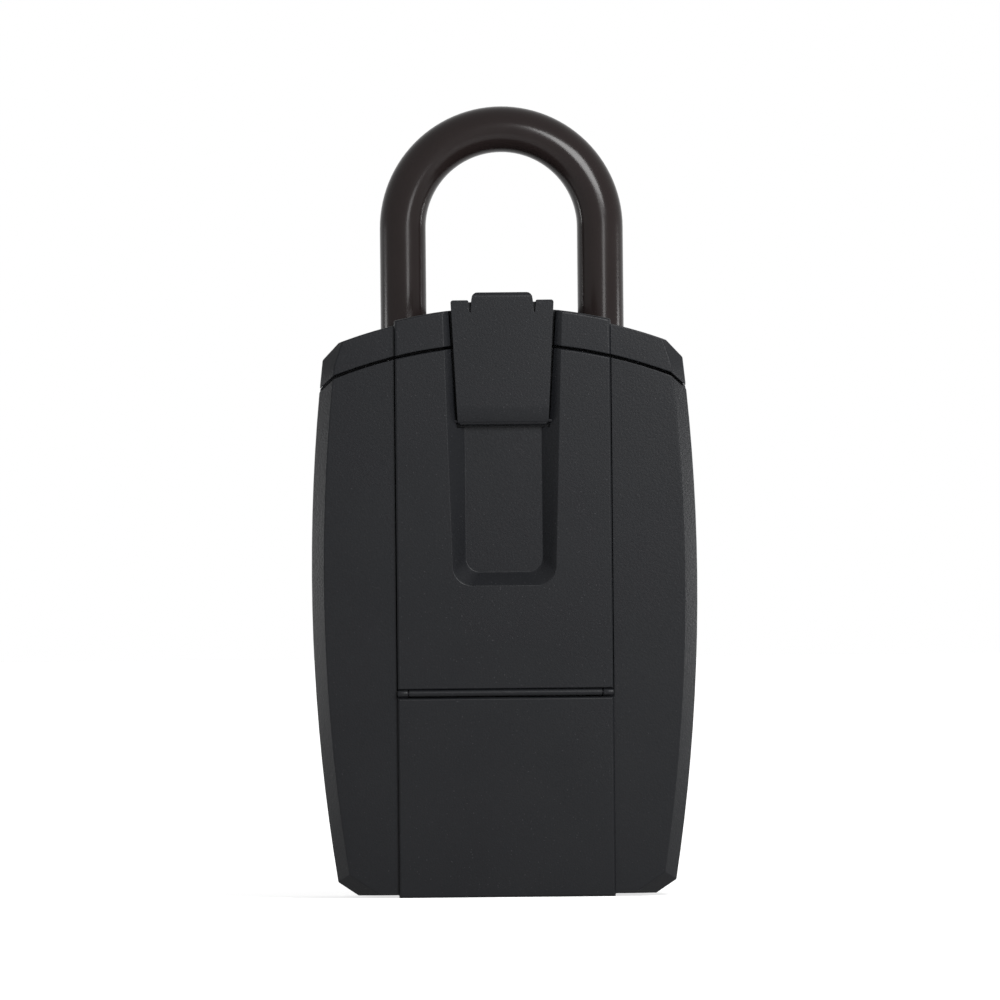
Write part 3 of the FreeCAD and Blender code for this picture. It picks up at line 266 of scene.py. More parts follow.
# ---- Lock block ----
# A bare die casting that fills the top of the box. It guides the shackle and takes the
# screws of the cap.
zinc_casting = Finish("zinc_casting")
pits = zinc_casting.noise(0.3 * MM, 4.0, 0.6)
zinc_casting.paint({
    "Base Color": zinc_casting.mix(zinc_casting.noise(4 * MM), grey(0.36, 1.04), grey(0.47, 1.03)),
    "Metallic": 1.0,
    "Roughness": zinc_casting.varied(pits, 0.42, 0.6),
    "Normal": zinc_casting.bump(pits, 0.03 * MM),
})
dress(zinc_casting, "lock_block")

# ---- Pins, screws and pressed plates ----
# Bought steel parts and stampings in bright or dark zinc plate. The screws are pan heads with
# a cross recess.


def steel(name, light, dark, roughness):
    """Drawn or pressed steel, with fine lines along Z."""
    finish = Finish(name)
    along = finish.node("ShaderNodeMapping", {}, {"Vector": finish.place, "Scale": (1.0, 1.0, 0.04)})
    lines = finish.noise(0.12 * MM, 2.0, 0.5, along)
    return finish.paint({
        "Base Color": finish.mix(finish.noise(5 * MM), light, dark),
        "Metallic": 1.0,
        "Roughness": finish.varied(lines, roughness - 0.05, roughness + 0.07),
        "Normal": finish.bump(lines, 0.004 * MM),
    })


pin_steel = steel("pin_steel", grey(0.62), grey(0.5), 0.24)
plated_steel = steel("plated_steel", grey(0.56, 1.05), grey(0.47, 1.02), 0.3)
pin_black = steel("pin_black", grey(0.012, 1.1), grey(0.008, 1.1), 0.4)
dress(pin_steel, "door_hinge_pin", "dial_shaft")
dress(pin_black, "cover_hinge_pin", "clip_pin")
dress(plated_steel, "catch_plate", "heel_ring", "shackle_catch", "back_plate", "bolt_bar", "gate_plate")
screw_steel = steel("screw_steel", grey(0.3), grey(0.2), 0.34)


def around(faces):
    """Faces with their edges and corners, each once."""
    edges = dict.fromkeys(edge for face in faces for edge in face.edges)
    corners = dict.fromkeys(corner for face in faces for corner in face.verts)
    return [*faces, *edges, *corners]


def join(shape, one):
    """Adds one shape to another, and lets it go."""
    mesh = bpy.data.meshes.new("joined")
    one.to_mesh(mesh)
    one.free()
    shape.from_mesh(mesh)


def placed(shape, start, towards):
    """Moves a shape from the origin to a point in millimetres, and turns its Z towards a direction."""
    turn = Vector(towards).to_track_quat("Z", "Y").to_matrix().to_4x4()
    bmesh.ops.transform(shape, matrix=Matrix.Translation(Vector(start) * MM) @ turn, verts=shape.verts)


def screw(shape, head_face, towards, shank, head, thick, length):
    """Adds a pan-head screw by the middle of its head's face, with its radii and lengths. In millimetres."""
    pitch, groove, neck = 0.6, 0.16, 0.3
    root, end = shank - groove, length + thick
    line = [(0.0, 0.0), (head - 0.35, 0.0), (head - 0.1, 0.12), (head, 0.35), (head, thick), (shank, thick)]
    reach = thick + neck
    while reach + pitch < end:
        line += [(shank, reach), (root, reach + pitch / 2)]
        reach += pitch
    line += [(root, end), (0.0, end)]
    one = bmesh.new()
    points = [one.verts.new((radius * MM, 0, z * MM)) for radius, z in line]
    for first, second in zip(points, points[1:]):
        one.edges.new((first, second))
    bmesh.ops.spin(one, geom=one.edges[:], cent=(0, 0, 0), axis=(0, 0, 1), angle=math.tau, steps=32,
                   use_merge=True)
    bmesh.ops.remove_doubles(one, verts=one.verts, dist=near_to)
    bmesh.ops.dissolve_limit(one, angle_limit=flat_angle, verts=one.verts, edges=one.edges)
    # The recess is a cross cut into the flat of the head and sunk.
    slot_half, arm, depth = 0.14 * head * MM, 0.55 * head * MM, 0.6 * thick * MM
    for place in (slot_half, -slot_half, arm, -arm):
        for axis in ((1, 0, 0), (0, 1, 0)):
            top = [face for face in one.faces if face.calc_center_median().z < near_to]
            bmesh.ops.bisect_plane(one, geom=around(top), plane_co=Vector(axis) * place, plane_no=axis)
    cross = []
    for face in one.faces:
        x, y, z = (abs(value) for value in face.calc_center_median())
        if z < near_to and min(x, y) < slot_half and max(x, y) < arm:
            cross.append(face)
    sunk = bmesh.ops.extrude_face_region(one, geom=cross)["geom"]
    bmesh.ops.delete(one, geom=cross, context="FACES_ONLY")
    bmesh.ops.translate(one, vec=(0, 0, depth), verts=only(bmesh.types.BMVert, sunk))
    bmesh.ops.recalc_face_normals(one, faces=one.faces)
    placed(one, head_face, towards)
    join(shape, one)


# Each group has its body, its node, the radii of shank and head, the thickness of the head, the
# length of the shank, the way that it points, and its places.
upwards, to_front, to_back, pair = (0, 0, 1), (0, -1, 0), (0, 1, 0), (-1, 1)
screw_groups = {
    "block": ("housing", "block_screws", (1.5, 2.8, 1.6, 22.3), to_back,
              [(29.5 * side, -1.1, 107.52) for side in pair]),
    "cap": ("housing", "cap_screws", (1.1, 2.2, 1.0, 4.6), upwards,
            [(14.0 * side, -11.95, 114.99) for side in pair]),
    "catch": ("housing", "catch_plate_screws", (1.1, 1.6, 0.8, 5.6), upwards,
              [(x, 3.4, 100.6) for x in (-7.7, 10.8)]),
    "plate": ("front_door", "plate_screws", (1.1, 2.2, 1.0, 4.5), to_front,
              [(28.0 * side, -15.95, z) for side in pair for z in (56.0, 90.0)]),
    "door": ("front_door", "back_plate_screws", (1.1, 2.2, 1.0, 8.0), to_front,
             [(29.0 * side, -2.45, z) for side in pair for z in (42.6, 102.0)]),
}
for group, (body, node, size, towards, places) in screw_groups.items():
    screws = bmesh.new()
    for place in places:
        screw(screws, place, towards, *size)
    made(f"cross_screws_{group}", screws, screw_steel, body, "screw_steel", node)

# ---- Springs ----
# Coils of thin hard-drawn wire beside the catch and above the bolt, and bent leaves under the
# dials and behind the clip.
spring_steel = steel("spring_steel", grey(0.52), grey(0.4), 0.27)
dress(spring_steel, "detent_spring", "clip_spring")


def coil(start, along, length, turns, radius=1.4, wire=0.2):
    """A round wire wound from a point along a direction, with flattened end turns. In millimetres."""
    shape = bmesh.new()
    ring = bmesh.ops.create_circle(shape, segments=8, radius=wire * MM, cap_ends=True)["verts"]
    bmesh.ops.rotate(shape, cent=(0, 0, 0), matrix=Matrix.Rotation(math.radians(90), 3, "X"), verts=ring)
    bmesh.ops.translate(shape, vec=(radius * MM, 0, 0), verts=ring)
    front = shape.faces[:] + shape.edges[:]
    steps_of_turn, end_rise = 20, 2.2 * wire
    for count, rise in ((1, end_rise), (turns - 2, length - 2 * end_rise), (1, end_rise)):
        steps = count * steps_of_turn
        front = bmesh.ops.spin(shape, geom=front, cent=(0, 0, 0), axis=(0, 0, 1), angle=count * math.tau,
                               dvec=(0, 0, rise * MM / steps), steps=steps)["geom_last"]
    bmesh.ops.recalc_face_normals(shape, faces=shape.faces)
    placed(shape, start, along)
    return shape


catch_wire = coil((-5.6, 8.0, 105.4), (1, 0, 0), 7.2, 8)
made("catch_coil", catch_wire, spring_steel, "housing", "spring_steel", "catch_spring")
bolt_x, bolt_y, bolt_lift = 10.7, -14.55, 5 * MM
bolt_wire = coil((bolt_x, bolt_y, 76.3), upwards, 15.4, 10)
bolt_coil = made("bolt_coil", bolt_wire, spring_steel, "front_door", "spring_steel", "bolt_spring")
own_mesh(bolt_coil)

# ---- Shackle ----
# A hardened round bar, bright plated, in a glossy brown-black vinyl sleeve that is pushed
# over the bow and ends inside the cap.
shackle_steel = steel("shackle_steel", grey(0.66), grey(0.58), 0.2)
dress(shackle_steel, "shackle_rod")
sleeve_vinyl = Finish("sleeve_vinyl")
vinyl_dark, vinyl_light = (0.0088, 0.0063, 0.0061, 1), (0.0116, 0.0085, 0.0082, 1)
sleeve_vinyl.paint({
    "Base Color": sleeve_vinyl.mix(sleeve_vinyl.noise(9 * MM), vinyl_dark, vinyl_light),
    "Roughness": sleeve_vinyl.varied(sleeve_vinyl.noise(7 * MM), 0.17, 0.21),
    "Specular IOR Level": 0.13,
    "Normal": sleeve_vinyl.bump(sleeve_vinyl.noise(0.6 * MM, 2.0), 0.002 * MM),
})
leg_x, leg_y, bow_z, sleeve_end_z = 20.6 * MM, 8.0 * MM, 139.5 * MM, 117.5 * MM
sleeve_radius, sleeve_wall, sleeve_edge = 4.8 * MM, 0.78 * MM, 0.2 * MM
bow_middle = Vector((0, leg_y, bow_z))
sleeve = bmesh.new()
ring = bmesh.ops.create_circle(sleeve, segments=48, radius=sleeve_radius)["verts"]
bmesh.ops.translate(sleeve, vec=(leg_x, leg_y, bow_z), verts=ring)
start_edges = sleeve.edges[:]
bow = bmesh.ops.spin(sleeve, geom=start_edges, cent=bow_middle, axis=(0, 1, 0), angle=-math.pi, steps=56)
for open_edges in (start_edges, only(bmesh.types.BMEdge, bow["geom_last"])):
    leg = bmesh.ops.extrude_edge_only(sleeve, edges=open_edges)["geom"]
    bmesh.ops.translate(sleeve, vec=(0, 0, sleeve_end_z - bow_z), verts=only(bmesh.types.BMVert, leg))
bmesh.ops.remove_doubles(sleeve, verts=sleeve.verts, dist=hair)
bmesh.ops.recalc_face_normals(sleeve, faces=sleeve.faces)
# The wall grows inwards, so the faces of this open tube have to look outwards.
if sum((face.calc_center_median() - bow_middle).dot(face.normal) for face in sleeve.faces) < 0:
    bmesh.ops.reverse_faces(sleeve, faces=sleeve.faces)
tube = made("vinyl_sleeve", sleeve, sleeve_vinyl, "shackle", "sleeve_vinyl", "shackle_sleeve", crease=60)
wall = tube.modifiers.new("wall", "SOLIDIFY")
wall.thickness = sleeve_wall
wall.offset = -1.0
eased(tube, sleeve_edge, over=60)

# ---- Cap and door ----
# Mouldings in charcoal plastic with a fine matt grain; its sparkle is painted glints, light specks
# in the colour. The cap is screwed to the lock block, and the door hangs on the pin below.
shell_black = Finish("shell_black")
grain = shell_black.noise(0.45 * MM, 3.0, 0.65)
shell_dark, shell_light = (0.0054, 0.0058, 0.0069, 1), (0.0078, 0.0082, 0.0093, 1)
# The colour of painted glints: light specks that stand for the grain's sparkle.
painted_sparkle_colour = (0.025, 0.025, 0.027, 1)
cloud = shell_black.mix(shell_black.noise(14 * MM), shell_dark, shell_light)
# Where the painted glints lie, scattered over the moulding.
painted_sparkle = shell_black.noise(0.35 * MM, 1.0, 0.5) > 0.75
shell_black.paint({
    "Base Color": shell_black.mix(painted_sparkle, cloud, painted_sparkle_colour),
    "Roughness": shell_black.varied(grain, 0.32, 0.42),
    "Specular IOR Level": 0.11,
    "Normal": shell_black.bump(grain, 0.04 * MM),
})
cap = solid_of("top_cap")
seam_middle_z, lip_radius, knee_x, knee_slope = 17.7 * MM, 98.0 * MM, 35.0 * MM, 0.901
lip_drop, wall_back_y, cap_edge = 0.45 * MM, -19.95 * MM, 0.25 * MM


def lip_z(x):
    """The height of the cap's lower edge."""
    arc = seam_middle_z + math.sqrt(lip_radius ** 2 - min(abs(x), knee_x) ** 2)
    return arc - knee_slope * max(0.0, abs(x) - knee_x)


# The lip in front of the wall reaches lower, so that the parting line under it is fine.
side_x, step_depth, lip_reach = 35.7 * MM, 0.05 * MM, 0.06 * MM
for place in (wall_back_y, wall_back_y + step_depth):
    sides = [face for face in cap.faces if abs(face.calc_center_median().x) > side_x]
    bmesh.ops.bisect_plane(cap, geom=around(sides), plane_co=(0, place, 0), plane_no=(0, 1, 0))
for vert in cap.verts:
    if vert.co.y < wall_back_y + near_to and abs(vert.co.z - lip_z(vert.co.x)) < lip_reach:
        vert.co.z -= lip_drop


def near(shape, x, y, z):
    """The corner of a mesh that is nearest to a point. In millimetres."""
    return min(shape.verts, key=lambda vert: (vert.co / MM - Vector((x, y, z))).length)


# The front of each wing is carried outwards, so that the chamfer beside it is a narrow one.
wing_y, wing_corner_x, wing_corner_z = -23.75, 33.3, 115.87
for side in (-1, 1):
    inner, lower = near(cap, 28.78 * side, wing_y, 117.38), near(cap, 34.96 * side, wing_y, 110.84)
    second, third = near(cap, 30.55 * side, -22.85, 116.82), near(cap, 32.30 * side, -21.99, 116.22)
    outer = near(cap, 34.05 * side, -21.15, 115.60)
    facet = next(face for face in cap.faces if {inner, outer, lower} <= set(face.verts))
    second.co.y = third.co.y = wing_y * MM
    third.co.x = wing_corner_x * side * MM
    third.co.z = wing_corner_z * MM
    bmesh.utils.face_split(facet, third, lower)
    old_edge = [edge for edge in cap.edges if set(edge.verts) == {inner, lower}]
    bmesh.ops.dissolve_edges(cap, edges=old_edge, use_verts=False)
bmesh.ops.recalc_face_normals(cap, faces=cap.faces)
eased(made("moulded_cap", cap, shell_black, "housing", "shell_black", "top_cap"), cap_edge)


def shift_sides(shape, half, new_half, front_of=math.inf):
    """Moves the upright sides of an opening or of a panel to another half width."""
    for corner in shape.verts:
        if abs(abs(corner.co.x) - half) < 0.02 * MM and corner.co.y < front_of:
            corner.co.x = math.copysign(new_half, corner.co.x)


door = solid_of("front_shell", halves=True)
opening_solid_half, opening_half, opening_back_y, door_edge = 22.65 * MM, 22.52 * MM, -20 * MM, 0.16 * MM
shift_sides(door, opening_solid_half, opening_half, opening_back_y)
eased(made("moulded_door", door, shell_black, "front_door", "shell_black", "front_shell"), door_edge)
# A rubber strip lies behind the parting line of cap and door, along its arc and down both wings.
seal_front_y, seal_back_y, seal_top, seal_foot = -19.92 * MM, -19.68 * MM, -0.05 * MM, -0.9 * MM
seal_middle, seal_run, end_area = (0, 0, seam_middle_z), 2.5 * MM, 0.3 * MM * MM
seal_turn = math.asin(knee_x / (lip_radius - 0.45 * MM))
section = ((seal_front_y, seal_foot), (seal_back_y, seal_foot),
           (seal_back_y, seal_top), (seal_front_y, seal_top))
seal = bmesh.new()
seal.faces.new([seal.verts.new((0, y, seam_middle_z + lip_radius + drop)) for y, drop in section])
bmesh.ops.rotate(seal, cent=seal_middle, matrix=Matrix.Rotation(-seal_turn, 3, "Y"), verts=seal.verts)
bmesh.ops.spin(seal, geom=seal.faces[:], cent=seal_middle, axis=(0, 1, 0), angle=2 * seal_turn, steps=28)
ends = [face for face in seal.faces if abs(face.calc_center_median().x) > knee_x - 0.5 * MM
        and abs(face.normal.y) < 0.1 and face.calc_area() < end_area]
for end in ends:
    tip = only(bmesh.types.BMVert, bmesh.ops.extrude_face_region(seal, geom=[end])["geom"])
    out = math.copysign(seal_run, tip[0].co.x)
    bmesh.ops.translate(seal, vec=(out, 0, -knee_slope * abs(out)), verts=tip)
bmesh.ops.delete(seal, geom=ends, context="FACES_ONLY")
bmesh.ops.recalc_face_normals(seal, faces=seal.faces)
made("cap_seal", seal, seal_rubber, "housing", "seal_rubber")

# ---- Lock plate ----
# A pressed plate in satin black that carries the dials, the bolt and the back plate. Two
# printed pointers mark the row where the code is read.
lock_plate_metal = Finish("lock_plate_metal")
lock_plate_metal.paint({
    "Base Color": lock_plate_metal.mix(lock_plate_metal.noise(6 * MM), grey(0.018, 1.04), grey(0.026, 1.04)),
    "Roughness": lock_plate_metal.varied(lock_plate_metal.noise(0.5 * MM), 0.35, 0.48),
    "Specular IOR Level": 0.4,
    "Normal": lock_plate_metal.bump(lock_plate_metal.noise(0.3 * MM), 0.01 * MM),
})
dress(lock_plate_metal, "lock_plate")
print_white = Finish("print_white")
print_white.paint({
    "Base Color": print_white.mix(print_white.noise(0.5 * MM), grey(0.62), grey(0.72)),
    "Roughness": print_white.varied(print_white.noise(0.3 * MM), 0.45, 0.6),
    "Normal": print_white.bump(print_white.noise(0.15 * MM), 0.004 * MM),
})
dial_y, dial_z, plate_face_y = -14.25 * MM, 54.0 * MM, -18.15 * MM
tip_x, base_x, pointer_half, print_depth = 18.3 * MM, 20.4 * MM, 1.1 * MM, 0.05 * MM
pointers = bmesh.new()
for side in (-1, 1):
    triangle = ((tip_x, 0), (base_x, -pointer_half), (base_x, pointer_half))
    pointers.faces.new([pointers.verts.new((side * x, plate_face_y, dial_z + z)) for x, z in triangle])
raised = bmesh.ops.extrude_face_region(pointers, geom=pointers.faces[:])["geom"]
bmesh.ops.translate(pointers, vec=(0, -print_depth, 0), verts=only(bmesh.types.BMVert, raised))
bmesh.ops.recalc_face_normals(pointers, faces=pointers.faces)
made("code_pointers", pointers, print_white, "front_door", "lock_plate_metal")

# ---- Dials ----
# Four moulded wheels with finger notches and printed figures, each pressed on a turned brass
# core that runs on the shaft.
dial_plastic = Finish("dial_plastic")
dial_plastic.paint({
    "Base Color": dial_plastic.mix(dial_plastic.noise(3 * MM), grey(0.011), grey(0.016)),
    "Roughness": dial_plastic.varied(dial_plastic.noise(0.4 * MM), 0.3, 0.42),
    "Normal": dial_plastic.bump(dial_plastic.noise(0.2 * MM), 0.008 * MM),
})
dial_brass = Finish("dial_brass")
dial_brass.paint({
    "Base Color": dial_brass.mix(dial_brass.noise(2 * MM), (0.6, 0.43, 0.17, 1), (0.5, 0.35, 0.13, 1)),
    "Metallic": 1.0,
    "Roughness": dial_brass.varied(dial_brass.noise(0.3 * MM), 0.25, 0.4),
    "Normal": dial_brass.bump(dial_brass.noise(0.2 * MM), 0.005 * MM),
})
dial_radius, notch_sink, notch_half, notch_floor = 8.0 * MM, 0.5 * MM, 0.85 * MM, 7.0 * MM
figure_height, figure_pitch, slice_height = 3.9 * MM, 36, 0.28 * MM


def wheel(x):
    """A ring spun from its section, with ten notches pressed into the rim."""
    rim = ((-3.5, 4.52), (-3.5, 7.6), (-3.38, 7.88), (-3.1, 8.0), (3.1, 8.0), (3.38, 7.88), (3.5, 7.6))
    recess = ((3.5, 6.3), (3.4, 6.2), (2.1, 6.2), (2.1, 4.52))
    shape = bmesh.new()
    points = [shape.verts.new((x + along * MM, dial_y, dial_z + out * MM)) for along, out in rim + recess]
    for first, second in zip(points, points[1:] + points[:1]):
        shape.edges.new((first, second))
    bmesh.ops.spin(shape, geom=shape.edges[:], cent=(x, dial_y, dial_z), axis=(1, 0, 0), angle=math.tau,
                   steps=220, use_merge=True)
    bmesh.ops.remove_doubles(shape, verts=shape.verts, dist=hair)
    for vert in shape.verts:
        arm = Vector((0, vert.co.y - dial_y, vert.co.z - dial_z))
        figure = math.degrees(math.atan2(arm.z, -arm.y)) / figure_pitch
        off = abs(figure - math.floor(figure) - 0.5) * math.radians(figure_pitch) * dial_radius
        if arm.length > notch_floor and off < notch_half:
            vert.co -= arm.normalized() * notch_sink * (1 - (off / notch_half) ** 2)
    bmesh.ops.recalc_face_normals(shape, faces=shape.faces)
    return shape


def figures(x):
    """The figures 0 to 9 as thin print, laid round the rim between the notches."""
    shape = bmesh.new()
    for figure in range(10):
        words = bpy.data.curves.new("figure", "FONT")
        words.body = str(figure)
        words.size = figure_height
        words.align_x, words.align_y = "CENTER", "CENTER"
        words.extrude = print_depth
        writing = bpy.data.objects.new("figure", words)
        one = bmesh.new()
        one.from_mesh(bpy.data.meshes.new_from_object(writing))
        bpy.data.objects.remove(writing)
        bmesh.ops.remove_doubles(one, verts=one.verts, dist=hair)
        heights = [vert.co.y for vert in one.verts]
        bmesh.ops.translate(one, vec=(0, -(max(heights) + min(heights)) / 2, 0), verts=one.verts)
        # Cuts across the flat figure let it bend round the rim.
        for step in range(-5, 6):
            cut_at = (0, step * slice_height, 0)
            bmesh.ops.bisect_plane(one, geom=whole(one), plane_co=cut_at, plane_no=(0, 1, 0))
        for vert in one.verts:
            out = dial_radius + vert.co.z
            turn = vert.co.y / dial_radius + math.radians(figure_pitch * figure)
            vert.co = (x + vert.co.x, dial_y - out * math.cos(turn), dial_z + out * math.sin(turn))
        bmesh.ops.recalc_face_normals(one, faces=one.faces)
        join(shape, one)
    return shape


for number, x in enumerate((-13.5, -4.5, 4.5, 13.5), 1):
    body, ring = f"dial_{number}", wheel(x * MM)
    dress(dial_brass, f"dial_core_{number}")
    made(f"figure_wheel_{number}", ring, dial_plastic, body, "dial_plastic", f"dial_wheel_{number}")
    made(f"wheel_figures_{number}", figures(x * MM), print_white, body, "dial_plastic")

# ---- Release knob and code lever ----
# Small satin grey mouldings that a finger pushes, with ribs across for grip. The knob's stem
# passes the lock plate to the bolt, and the lever's stem passes the back plate.
knob_plastic = Finish("knob_plastic")
knob_plastic.paint({
    "Base Color": knob_plastic.mix(knob_plastic.noise(4 * MM), grey(0.25, 1.02), grey(0.31, 1.02)),
    "Roughness": knob_plastic.varied(knob_plastic.noise(0.4 * MM), 0.36, 0.46),
    "Normal": knob_plastic.bump(knob_plastic.noise(0.25 * MM), 0.01 * MM),
})


def rounded_block(shape, low, high, radius, segments=3):
    """Adds a block with rounded edges between two corners. In millimetres."""
    one = bmesh.new()
    bmesh.ops.create_cube(one, size=1.0)
    bmesh.ops.scale(one, vec=(Vector(high) - Vector(low)) * MM, verts=one.verts)
    bmesh.ops.translate(one, vec=(Vector(high) + Vector(low)) * MM / 2, verts=one.verts)
    bmesh.ops.bevel(one, geom=one.edges[:], offset=radius * MM, segments=segments, profile=0.5,
                    affect="EDGES", material=-1)
    join(shape, one)


# A thumb plate, its stem, and five ribs.
rib_half = 0.3
knob = bmesh.new()
rounded_block(knob, (-7.0, -19.25, 69.0), (7.0, -18.25, 75.0), 0.35)
rounded_block(knob, (-2.0, -18.7, 70.0), (2.0, -16.65, 74.0), 0.1, 1)
for z in (70.0, 71.0, 72.0, 73.0, 74.0):
    rounded_block(knob, (-6.0, -19.65, z - rib_half), (6.0, -19.05, z + rib_half), 0.25)
made("ribbed_knob", knob, knob_plastic, "release", "knob_plastic", "release_knob", crease=50)
# A slide between the plates, its stem, a finger pad on the side of the keys, and three ribs.
lever = bmesh.new()
rounded_block(lever, (-6.0, -5.95, 39.0), (6.0, -4.85, 43.0), 0.15, 2)
rounded_block(lever, (-1.5, -5.6, 39.8), (1.5, -2.95, 42.2), 0.1, 1)
rounded_block(lever, (-2.5, -3.25, 39.0), (2.5, -2.05, 43.0), 0.3)
for x in (-1.4, 0.0, 1.4):
    rounded_block(lever, (x - rib_half, -2.25, 39.5), (x + rib_half, -1.75, 42.5), 0.2)
made("ribbed_lever", lever, knob_plastic, "code_lever", "knob_plastic", "code_lever", crease=50)

# ---- Dial cover and clip ----
# The cover is moulded with the thumb well and swings on a thin pin. The clip is one sprung
# moulding: two ears, a longer hooked finger between them, and a lower end that rolls inwards.
cover = solid_of("dial_cover")
cover_solid_half, cover_half, cover_edge = 22.35 * MM, 22.43 * MM, 0.1 * MM
shift_sides(cover, cover_solid_half, cover_half)
eased(made("moulded_cover", cover, shell_black, "dial_cover", "shell_black", "dial_cover"), cover_edge)
# The clip's outline, from its foot up over an ear and down beside the finger to the finger's top.
foot, ear_outer, ear_inner = (9.45, 98.1), (10.75, 124.2), (7.0, 124.2)
gap_outer, gap_inner, finger_side, finger_top = (6.8, 121.7), (6.6, 121.7), (6.45, 123.9), (6.15, 125.8)
half_outline = (foot, ear_outer, ear_inner, gap_outer, gap_inner, finger_side, finger_top)
outline = [*half_outline, *((-x, z) for x, z in reversed(half_outline))]
clip_face_y, clip_thick, clip_edge = -24.75, 1.5, 0.13 * MM
clip = bmesh.new()
clip.faces.new([clip.verts.new((x * MM, clip_face_y * MM, z * MM)) for x, z in outline])
back = bmesh.ops.extrude_face_region(clip, geom=clip.faces[:])["geom"]
bmesh.ops.translate(clip, vec=(0, clip_thick * MM, 0), verts=only(bmesh.types.BMVert, back))
bmesh.ops.recalc_face_normals(clip, faces=clip.faces)


def is_at(value, place):
    """Whether a coordinate of the mesh lies at a place in millimetres."""
    return abs(value - place * MM) < 0.02 * MM


def through(shape, x, z):
    """The edges that run along Y at a corner of the outline and at its mirror image."""
    return [edge for edge in shape.edges
            if all(is_at(abs(vert.co.x), x) and is_at(vert.co.z, z) for vert in edge.verts)]


roundings = ((foot, 0.9), (ear_outer, 0.55), (ear_inner, 0.35), (finger_top, 1.0), (finger_side, 0.25))
for corner, radius in roundings:
    bmesh.ops.bevel(clip, geom=through(clip, *corner), offset=radius * MM, segments=5, profile=0.5,
                    affect="EDGES", material=-1)
roll_cuts = (98.3, 98.6, 99.0, 99.4, 99.9, 100.4, 100.9, 101.4, 101.9, 102.4)
hook_low, hook_high, hook_low_half = 123.0, 124.0, 3.0
for z in (*roll_cuts, hook_low):
    bmesh.ops.bisect_plane(clip, geom=whole(clip), plane_co=(0, 0, z * MM), plane_no=(0, 0, 1))
# The finger's hook is drawn out of its back.
hook, hook_length = [], 4.5
for face in clip.faces:
    x, y, z = face.calc_center_median() / MM
    if face.normal.y > 0.9 and (z > hook_high or z > hook_low and abs(x) < hook_low_half):
        hook.append(face)
hook_end = bmesh.ops.extrude_face_region(clip, geom=hook)["geom"]
bmesh.ops.delete(clip, geom=hook, context="FACES_ONLY")
bmesh.ops.translate(clip, vec=(0, hook_length * MM, 0), verts=only(bmesh.types.BMVert, hook_end))
# The clip's lower end rolls inwards along an arc, down to the pin.
roll_top, roll_height, roll_depth, roll_back_y = 102.4, 4.3, 1.75, -22.0
for vert in clip.verts:
    drop = (roll_top - vert.co.z / MM) / roll_height
    if drop > 0:
        inwards = roll_depth * (1 - math.sqrt(max(0.0, 1 - drop * drop)))
        vert.co.y = min(vert.co.y + inwards * MM, roll_back_y * MM)
for y, radius in ((clip_face_y, 1.3), (clip_face_y + clip_thick + hook_length, 1.1)):
    ridge = [edge for edge in clip.edges
             if all(is_at(vert.co.z, finger_top[1]) and is_at(vert.co.y, y) for vert in edge.verts)]
    bmesh.ops.bevel(clip, geom=ridge, offset=radius * MM, segments=5, profile=0.5, affect="EDGES",
                    material=-1)
# A thin web closes the gaps beside the finger, and a barrel holds the pin.
rounded_block(clip, (-7.6, -23.95, 120.9), (7.6, -23.35, 123.75), 0.05, 1)
barrel_radius, barrel_length, barrel_middle = 0.95 * MM, 18.0 * MM, (0, -22.95, 99.05)
barrel = bmesh.new()
bmesh.ops.create_cone(barrel, cap_ends=True, segments=32, radius1=barrel_radius, radius2=barrel_radius,
                      depth=barrel_length)
turned = Matrix.Translation(Vector(barrel_middle) * MM) @ Matrix.Rotation(math.radians(90), 4, "Y")
bmesh.ops.transform(barrel, matrix=turned, verts=barrel.verts)
join(clip, barrel)
eased(made("hooked_clip", clip, shell_black, "clip", "shell_black", "cover_clip"), clip_edge)

# ---- Floor, lamps and camera ----
# A small product table with a white floor, two soft lamps in front and one at each side. The
# camera, and what shines or lets light through, see the floor and the world as white.
floor_size, fill_light, white = 9.0, 0.3, 1.0
near_white, near_radius, far_radius = 0.7, 0.1, 0.5
floor_mesh = bmesh.new()
bmesh.ops.create_grid(floor_mesh, x_segments=1, y_segments=1, size=floor_size)
floor = bpy.data.objects.new("floor", bpy.data.meshes.new("floor"))
floor_mesh.to_mesh(floor.data)
floor_mesh.free()
scene.collection.objects.link(floor)


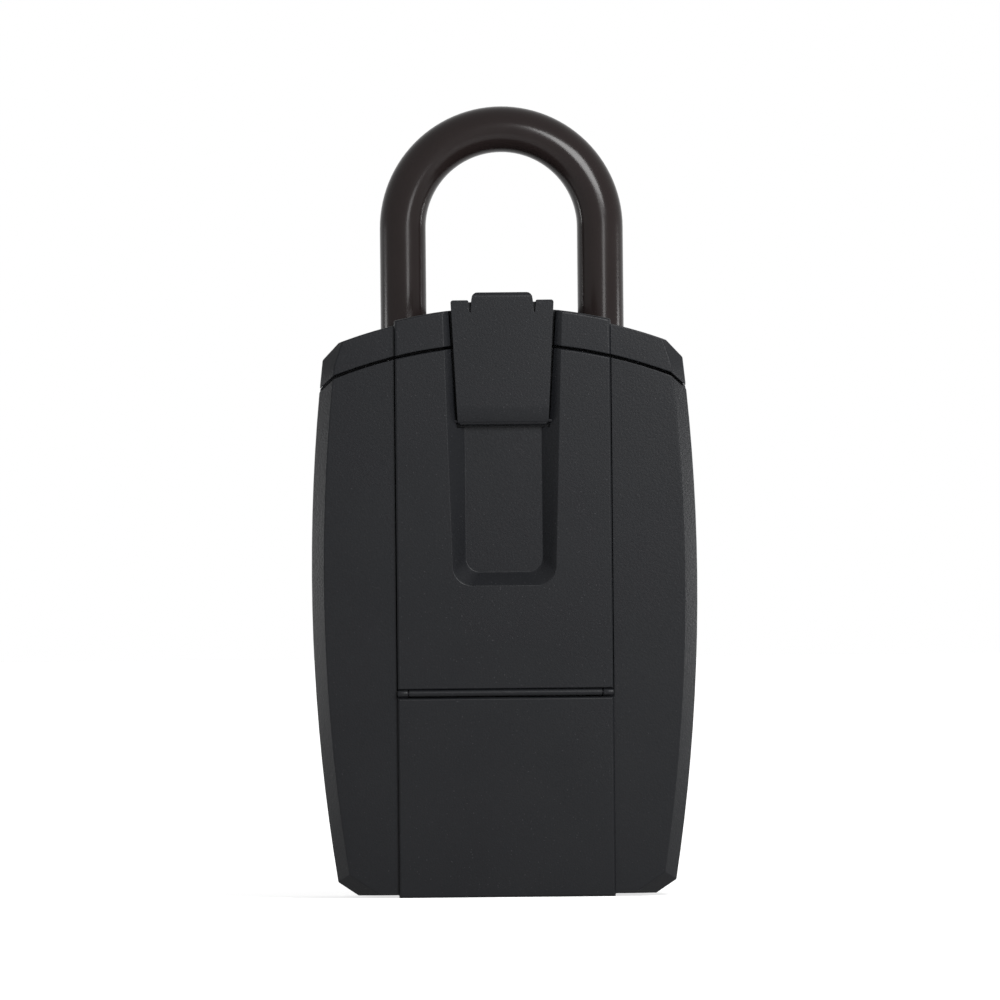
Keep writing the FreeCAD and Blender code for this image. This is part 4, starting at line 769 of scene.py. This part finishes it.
def seen(nodes):
    """Above 0 for the rays that see the background, and 0 for those that light the object."""
    kinds = ("Is Camera Ray", "Is Glossy Ray", "Is Transmission Ray")
    return sum(nodes.node("ShaderNodeLightPath", {}, {}, kind) for kind in kinds)


floor_white = Finish("floor_white")
distance = floor_white.node("ShaderNodeVectorMath", {"operation": "LENGTH"}, {0: floor_white.place}, "Value")
glow = seen(floor_white) * floor_white.between(distance, near_radius, far_radius, near_white, white)
floor_white.paint({
    "Base Color": grey(0.5),
    "Roughness": 0.9,
    "Emission Color": floor_white.mix(glow, grey(0.0), grey(1.0)),
    "Emission Strength": 1.0,
})
floor.data.materials.append(floor_white.material)

scene.world = bpy.data.worlds.new("studio")
world = Nodes(scene.world, "Background")
world.paint({"Color": grey(1.0), "Strength": fill_light + (white - fill_light) * (seen(world) > 0.5)})


def lamp(name, place, aim, width, height, watts):
    """A soft rectangular lamp turned towards a point."""
    light = bpy.data.lights.new(name, "AREA")
    light.shape = "RECTANGLE"
    light.size, light.size_y = width, height
    light.energy = watts
    holder = bpy.data.objects.new(name, light)
    holder.location = place
    holder.visible_camera = False
    holder.rotation_euler = (Vector(aim) - Vector(place)).to_track_quat("-Z", "Y").to_euler()
    scene.collection.objects.link(holder)


body_middle, body_front = (0.0, 0.0, 0.08), (0.0, -0.02, 0.07)
lamp("lamp_low", (0.13, -0.33, 0.12), body_middle, 0.07, 0.07, 0.2)
lamp("lamp_high", (0.13, -0.3, 0.25), body_middle, 0.16, 0.14, 2.1)
lamp("lamp_left", (-0.35, 0.06, 0.07), body_front, 0.08, 0.1, 0.5)
lamp("lamp_right", (0.35, 0.06, 0.07), body_front, 0.08, 0.1, 0.5)

camera_distance, view_width, camera_roll = 6.0, 0.2079, math.radians(0.54)
view_x, view_front_y, view_z = -0.0008, -0.025, 0.0826
camera = bpy.data.objects.new("camera", bpy.data.cameras.new("camera"))
camera.data.sensor_width = 36.0
camera.data.lens = camera.data.sensor_width * camera_distance / view_width
camera.data.clip_end = 50.0
camera.location = (view_x, view_front_y - camera_distance, view_z)
camera.rotation_euler = (math.radians(90), camera_roll, 0)
scene.collection.objects.link(camera)
scene.camera = camera
scene.view_settings.view_transform = "Standard"
